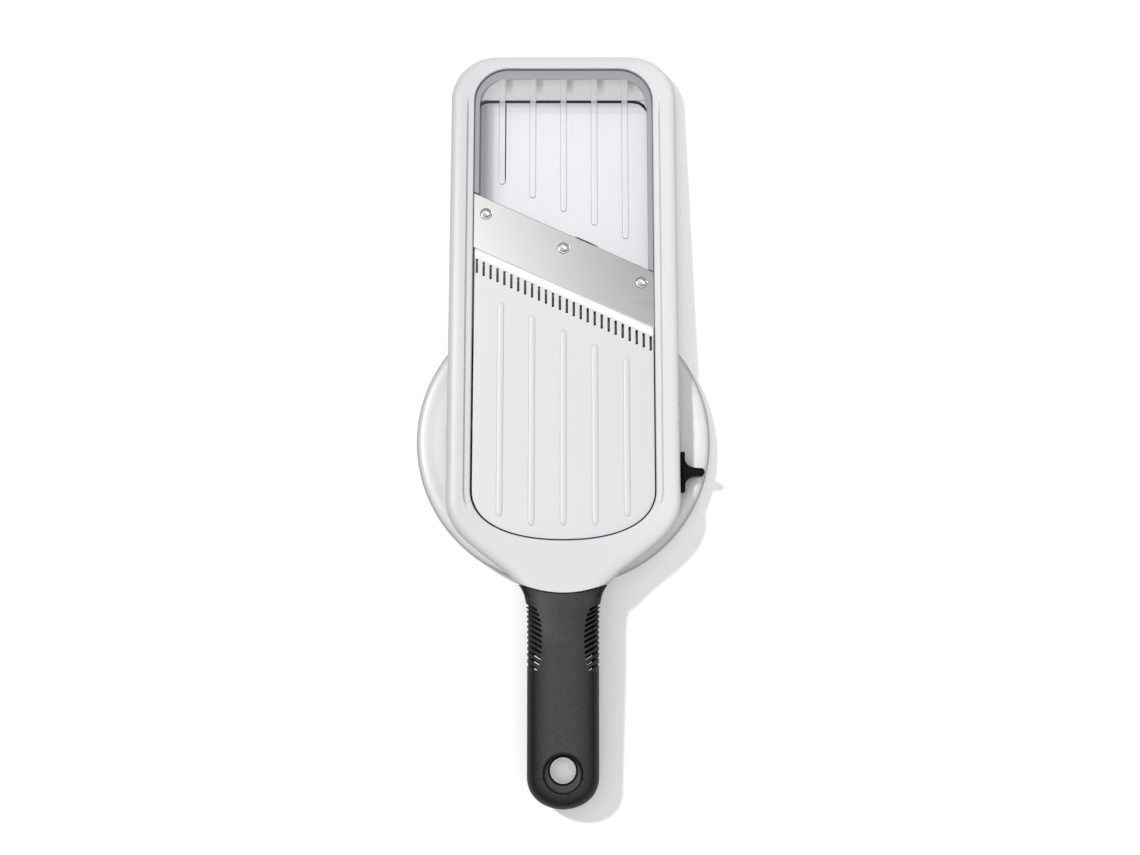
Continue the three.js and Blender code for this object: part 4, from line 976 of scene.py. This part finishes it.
def feed_ramp():
    curve = bezier((0, CHANNEL_END_Y + 0.9), (table_half * 0.6, CHANNEL_END_Y + 0.9),
                   (table_half, CHANNEL_END_Y + 0.9 + CHANNEL_ROUND * 0.33),
                   (table_half, CHANNEL_END_Y + CHANNEL_ROUND), 32)
    edge_y = blade_front_y + 0.6
    outline = [(x if x > 0 else x * (1 - GAP / table_half), y)
               for x, y in mirrored(curve + [(table_half, FAR_END_Y)])]
    top = common(plate(outline, table_bottom, DECK_Z), plate(slanted_strip(WIDE, -200, edge_y), -10, 10))
    round_edges(top, 0.35, 3, 50)
    lip = sheared(across([(blade_front_y - LIP + 0.8, DECK_Z + 0.01), (edge_y + 1, DECK_Z - 1.1),
                          (edge_y + 1, DECK_Z + 4), (blade_front_y - LIP + 0.8, DECK_Z + 4)], -WIDE, WIDE))
    openings = []
    for i in range(SLOT_COUNT):
        x = -slot_span / 2 + slot_span * i / (SLOT_COUNT - 1)
        y = slots_y + slant_at(x)
        openings.append(block(x - SLOT_HALF, x + SLOT_HALF, y - SLOT_LENGTH / 2, y + SLOT_LENGTH / 2, -5, 5))
    ribs = [soft_rib(x, -46.6 if abs(x) > 24 else -51, slots_y + slant_at(x) - 13, 1.7, GUIDE_HEIGHT,
                     DECK_Z - 0.02) for x in guide_xs]
    feet = [block(side * rail_x - 1.6, side * rail_x + 1.6, -2.5, 2.5, -2.8, table_bottom + 0.5, 0.3)
            for side in (-1, 1)]
    lugs = []
    for side in (-1, 1):
        x = side * 13
        lugs.append(block(x - 2, x + 2, HINGE_Y - 2.6, HINGE_Y + 2.6, HINGE_Z, table_bottom + 0.5))
        lugs.append(crosswise(x - 2, x + 2, HINGE_Y, HINGE_Z, 2.9, 48))
        peg_x = side * 30
        peg_y = slots_y + slant_at(peg_x) - 5.3
        lugs.append(upright(peg_x, peg_y, TOOTH_BOTTOM - 2.1, table_bottom + 0.5, 1.2))
    shape = join(cut(top, lip, *openings), *ribs, *feet, *lugs)
    bore = crosswise(-20, 20, HINGE_Y, HINGE_Z, 1.95, 48)
    dressed(cut(shape, bore), "feed_ramp_fine", table_white, "feed_ramp", also=(
        # The lip's sloped faces take painted light.
        (lip_painted_light, lambda middle, normal: middle.z > 0.3 and 0.9 < normal.z < 0.998
         and middle.y - slant_at(middle.x) > blade_front_y - LIP),
        # The slots' walls take painted shade.
        (painted_slot_shade, lambda middle, normal: abs(normal.z) < 0.5 and -1 < middle.z < DECK_Z - 0.2)))


# ---------------------------------------------------------------- lever


def thickness_lever():
    inner = BODY_HALF + GAP
    face = inner + 2.4
    tip = BODY_HALF + 12.3 + GAP
    upper = [(inner, LEVER_Y + 10.25), (face, LEVER_Y + 10.25)]
    flank = bezier((face, LEVER_Y + 6.5), (face + 0.3, LEVER_Y + 3.2), (face + 3.4, LEVER_Y + 1.9),
                   (tip - 2, LEVER_Y + 1.9), 14)
    nose = arc(tip - 2, LEVER_Y, 2, math.pi / 2, -math.pi / 2, 14)[1:-1]
    side = upper + flank
    lower = [(x, 2 * LEVER_Y - y) for x, y in reversed(side)]
    shape = plate(side + nose + lower, arm_middle - 3.2, arm_middle + 3.2)
    round_edges(shape, 0.8, 4, 40)
    bore = crosswise(inner - 1, tip + 1, LEVER_Y, arm_middle, SCREW_R, 24)
    dressed(cut(shape, bore), "thickness_lever_fine", hard_black, "thickness_lever")


# ---------------------------------------------------------------- handle


def grip_block():
    rings = []
    steps = 70
    for i in range(steps):
        y = lerp(NECK_Y + 1.5, HANDLE_END_Y + HANDLE_END_ROUND, (i / steps) ** 1.3)
        rings.append(section_ring(y, *handle_section(y), axis_z(y)))
    for i in range(25):
        y = HANDLE_END_Y + 0.05 + HANDLE_END_ROUND * math.cos(i / 24 * math.pi / 2) ** 1.4
        rings.append(section_ring(y, *handle_section(y), axis_z(y)))
    return loft(rings)


def beyond_seam(shift):
    reach = NECK_HALF_WIDTH + 4
    bow = [(reach * (1 - i / 16), seam_y(reach * (1 - i / 16), shift)) for i in range(33)]
    return plate([(-reach, HANDLE_END_Y - 20), (reach, HANDLE_END_Y - 20), *bow], -60, 40)


def fin_slots():
    """Finger slots on both sides, closed by a web that opens at the inner ends of the lowest ones."""
    slots_made = []
    reach = NECK_HALF_WIDTH + 2
    for i in range(FIN_COUNT):
        y = FIN_START_Y - i * FIN_PITCH
        inner = FIN_INNER_X - 0.4 + 2.4 * abs(2 * i / (FIN_COUNT - 1) - 1) ** 3
        fall = FIN_SLANT * (reach - inner) / 7
        for side in (-1, 1):
            ends = (side * inner, y - FIN_SLANT), (side * reach, y - FIN_SLANT + fall)
            outline = [*ends, *((end_x, end_y + FIN_SLOT) for end_x, end_y in reversed(ends))]
            slots_made.append(plate(outline, -60, 40))
    web_end = FIN_START_Y - 9.4 * FIN_PITCH
    web_half = HANDLE_HALF_WIDTH - 0.5
    web = loft([section_ring(y, web_half, 2.2, axis_z(y), 8, 6) for y in (-80.0, web_end)])
    sides = []
    for side in (-1, 1):
        strip = loft([section_ring(y, web_half, 2.6, axis_z(y), 8, 6) for y in (web_end + 0.5, -130)])
        outside = block(*sorted((side * WEB_OPEN_X, side * (reach + 2))), -132, web_end + 1, -40, 20)
        sides.append(common(strip, outside))
    return cut(join(*slots_made), web, *sides)


def recess_bowl():
    top = axis_z(RECESS_Y) + HANDLE_HALF_THICKNESS
    wall = bezier((RECESS_R - 2.6, top - RECESS_DEPTH), (RECESS_R - 0.9, top - RECESS_DEPTH + 0.2),
                  (RECESS_R - 0.2, top - RECESS_DEPTH + 1.0), (RECESS_R + 0.2, top + 1), 14)
    return turned([(0, top - RECESS_DEPTH - 0.5), *wall, (RECESS_R + 0.3, 30), (0, 30)], 0, RECESS_Y, 128)


def handle_grip():
    shape = common(grip_block(), beyond_seam(GAP))
    hole = upright(0, HANG_Y, -60, 30, HANG_R + EYELET_WALL + 0.02, 96)
    shape = cut(round_edges(cut(shape, recess_bowl()), 0.3, 3, 34), tongue(GAP), hole, fin_slots())
    fin_low = FIN_START_Y - (FIN_COUNT - 1) * FIN_PITCH - FIN_SLANT - 0.5

    def in_fins(middle):
        return abs(middle.x) > FIN_INNER_X - 0.3 and fin_low < middle.y < FIN_START_Y + 3.5

    def in_slots(middle, normal):
        inner_end = abs(middle.x) < FIN_INNER_X + 0.95 and abs(normal.x) > 0.95
        web = abs(middle.z - axis_z(middle.y)) < 2.7 and abs(normal.z) > 0.9
        return in_fins(middle) and (abs(normal.y) > 0.6 or inner_end or web)

    dressed(shape, "handle_grip_fine", charcoal, "handle_grip", sharp=30, also=(
        # The finger slots' walls take painted shade.
        (fin_black, lambda middle, normal: in_fins(middle)), (painted_slot_shade, in_slots)))


def hang_eyelet():
    band = common(grip_block(), upright(0, HANG_Y, -60, 30, HANG_R + EYELET_WALL, 96))
    shape = cut(band, recess_bowl(), upright(0, HANG_Y, -60, 30, HANG_R, 96))
    dressed(shape, "hang_eyelet_fine", hard_black, "hang_eyelet", sharp=30, also=(
        # The inner wall takes the painted glow.
        (eyelet_painted_glow, lambda middle, normal: math.hypot(middle.x, middle.y - HANG_Y) < HANG_R + 0.1
         and abs(normal.z) < 0.3),))


# ---------------------------------------------------------------- food holder


def holder_dish():
    floor_z = HOLDER_RIM_Z - 2.6
    bottom = floor_z - 1.8
    slope_r = HOLDER_R - 14
    crest_r = HOLDER_R - 4.6
    shelf_z = HOLDER_RIM_Z - 0.6
    bend = bezier((crest_r, HOLDER_RIM_Z), (crest_r - 1.8, HOLDER_RIM_Z), (crest_r - 2.6, shelf_z),
                  (crest_r - 5, shelf_z), 12)
    bend += bezier((slope_r, shelf_z), (slope_r - 3, shelf_z), (slope_r - 3, floor_z),
                   (slope_r - 6, floor_z), 12)
    under = bezier((slope_r, bottom), (slope_r + 6, bottom), (HOLDER_R - 3, bottom + 1.0),
                   (HOLDER_R - 0.2, HOLDER_RIM_Z - 2.6), 16)
    edge = bezier((HOLDER_R, HOLDER_RIM_Z - 2.4), (HOLDER_R - 0.5, HOLDER_RIM_Z - 0.9),
                  (HOLDER_R - 2.6, HOLDER_RIM_Z), (crest_r, HOLDER_RIM_Z), 16)[:-1]
    dish = turned([(0, bottom), *under, *edge, *bend, (0, floor_z)], 0, HOLDER_Y, 160)
    far_y = LEVER_Y + LEVER_TRAVEL + ARM_LENGTH / 2 + 4
    near_y = LEVER_Y - ARM_LENGTH / 2 - 16
    clips = [block(x - 0.9, x + 0.9, y, y + 12, floor_z - 0.9, -3.6, 0.3)
             for x in (-hollow_middle, hollow_middle) for y in (far_y, near_y)]
    shape = cut(join(dish, *clips), upright(0, HOLDER_Y, -30, 0, SCREW_R, 32))
    dressed(shape, "holder_dish_fine", holder_white, "holder_dish", sharp=30, also=(
        # Inside the crest the holder has less painted shade.
        (holder_inner, lambda middle, normal: math.hypot(middle.x, middle.y - HOLDER_Y) < crest_r - 1),))


# ---------------------------------------------------------------- smaller pieces from the CAD shapes


def refined(node, material, width):
    """A CAD node's shape as a piece of its own: triangles dissolved into faces and edges rounded."""
    source = frame["nodes"][node]
    tidy = bmesh.new()
    tidy.from_mesh(source.data)
    bmesh.ops.transform(tidy, matrix=LEVEL.inverted(), verts=tidy.verts)
    bmesh.ops.remove_doubles(tidy, verts=tidy.verts, dist=2e-3)
    bmesh.ops.dissolve_limit(tidy, angle_limit=math.radians(1.0), verts=tidy.verts, edges=tidy.edges)
    made = bpy.data.meshes.new(node)
    tidy.to_mesh(made)
    tidy.free()
    shape = bpy.data.objects.new(node, made)
    bpy.context.scene.collection.objects.link(shape)
    if width:
        round_edges(shape, width, 2, 40)
    dressed(shape, node + "_fine", material, node)


frame_shell()
window_panel()
slicing_blade()
blade_pins()
feed_ramp()
thickness_lever()
handle_grip()
hang_eyelet()
holder_dish()
for node, material, width in (
        ("toe_foot", charcoal, 0.3), ("palm_pad", charcoal, 0.0), ("prong_plate", grey_plastic, 0.0),
        ("wedge_carriage", grey_plastic, 0.2), ("comb_carrier", dark_grey, 0.1),
        ("julienne_comb", painted_shade_steel, 0.0), ("detent_spring", spring_steel, 0.0),
        ("ramp_hinge_pin", spring_steel, 0.2), ("lever_screw", polished, 0.0), ("prong_screw", polished, 0.1),
        ("panel_screw_left", polished, 0.1), ("panel_screw_right", polished, 0.1),
        ("comb_screw_left", polished, 0.1), ("comb_screw_right", polished, 0.1)):
    refined(node, material, width)

# ---------------------------------------------------------------- floor, light and camera


def stage_floor():
    bpy.ops.mesh.primitive_plane_add(size=40, location=(0, 0, 0))
    floor = bpy.context.object
    floor.name = "floor"
    finish = Finish("floor").set(Base_Color=(0.92, 0.92, 0.92, 1), Roughness=0.9, IOR=1.2,
                                 Emission_Color=(1, 1, 1, 1), Emission_Strength=0.07)
    floor.data.materials.append(finish.material)


def area_light(name, place, target, size, power):
    data = bpy.data.lights.new(name, "AREA")
    data.shape = "DISK"
    data.size = size
    data.energy = power
    light = bpy.data.objects.new(name, data)
    light.location = place
    light.rotation_euler = (Vector(target) - Vector(place)).to_track_quat("-Z", "Y").to_euler()
    bpy.context.scene.collection.objects.link(light)


def surroundings():
    """Dim light from all sides, brighter to the right and higher up, with a bright overhead for the steel."""
    world = bpy.data.worlds.new("studio")
    world.use_nodes = True
    sky = Nodes(world.node_tree)
    way = sky.node("ShaderNodeTexCoord").outputs["Generated"]
    x, y, z = (sky.axis(way, name) for name in "XYZ")
    sides = sky.reckon("MULTIPLY", sky.graded(z, 0.0, 0.8, 0.22, 0.64), sky.graded(x, -0.75, 0.75, 0.3, 1.7))
    overhead = sky.blend(sky.graded(y, 0.14, 0.34), 1.5, sky.graded(x, -0.12, 0.077, 1.9, 0.06))
    background = sky.tree.nodes["Background"]
    background.inputs["Color"].default_value = (1, 1, 1, 1)
    sky.link(sky.blend(sky.graded(z, 0.82, 0.96), sides, overhead), background.inputs["Strength"])
    bpy.context.scene.world = world


CAMERA_DISTANCE_M = 0.831
CAMERA_LEAN = math.radians(8.1)
LENS = 52.0


def camera():
    """Looks down on the rim's middle from a little on the handle's side."""
    target = LEVEL @ Vector((3.4, -0.8, 0))
    data = bpy.data.cameras.new("camera")
    data.lens = LENS
    data.sensor_width = 36
    data.clip_start = 0.01
    made = bpy.data.objects.new("camera", data)
    made.location = target + CAMERA_DISTANCE_M * Vector((0, -math.sin(CAMERA_LEAN), math.cos(CAMERA_LEAN)))
    made.rotation_euler = (CAMERA_LEAN, 0, 0)
    bpy.context.scene.collection.objects.link(made)
    bpy.context.scene.camera = made


stage_floor()
area_light("key", (-1.26, 0.70, 2.0), (0, 0, 0), 0.19, 42)
surroundings()
camera()
bpy.context.scene.view_settings.view_transform = "Standard"
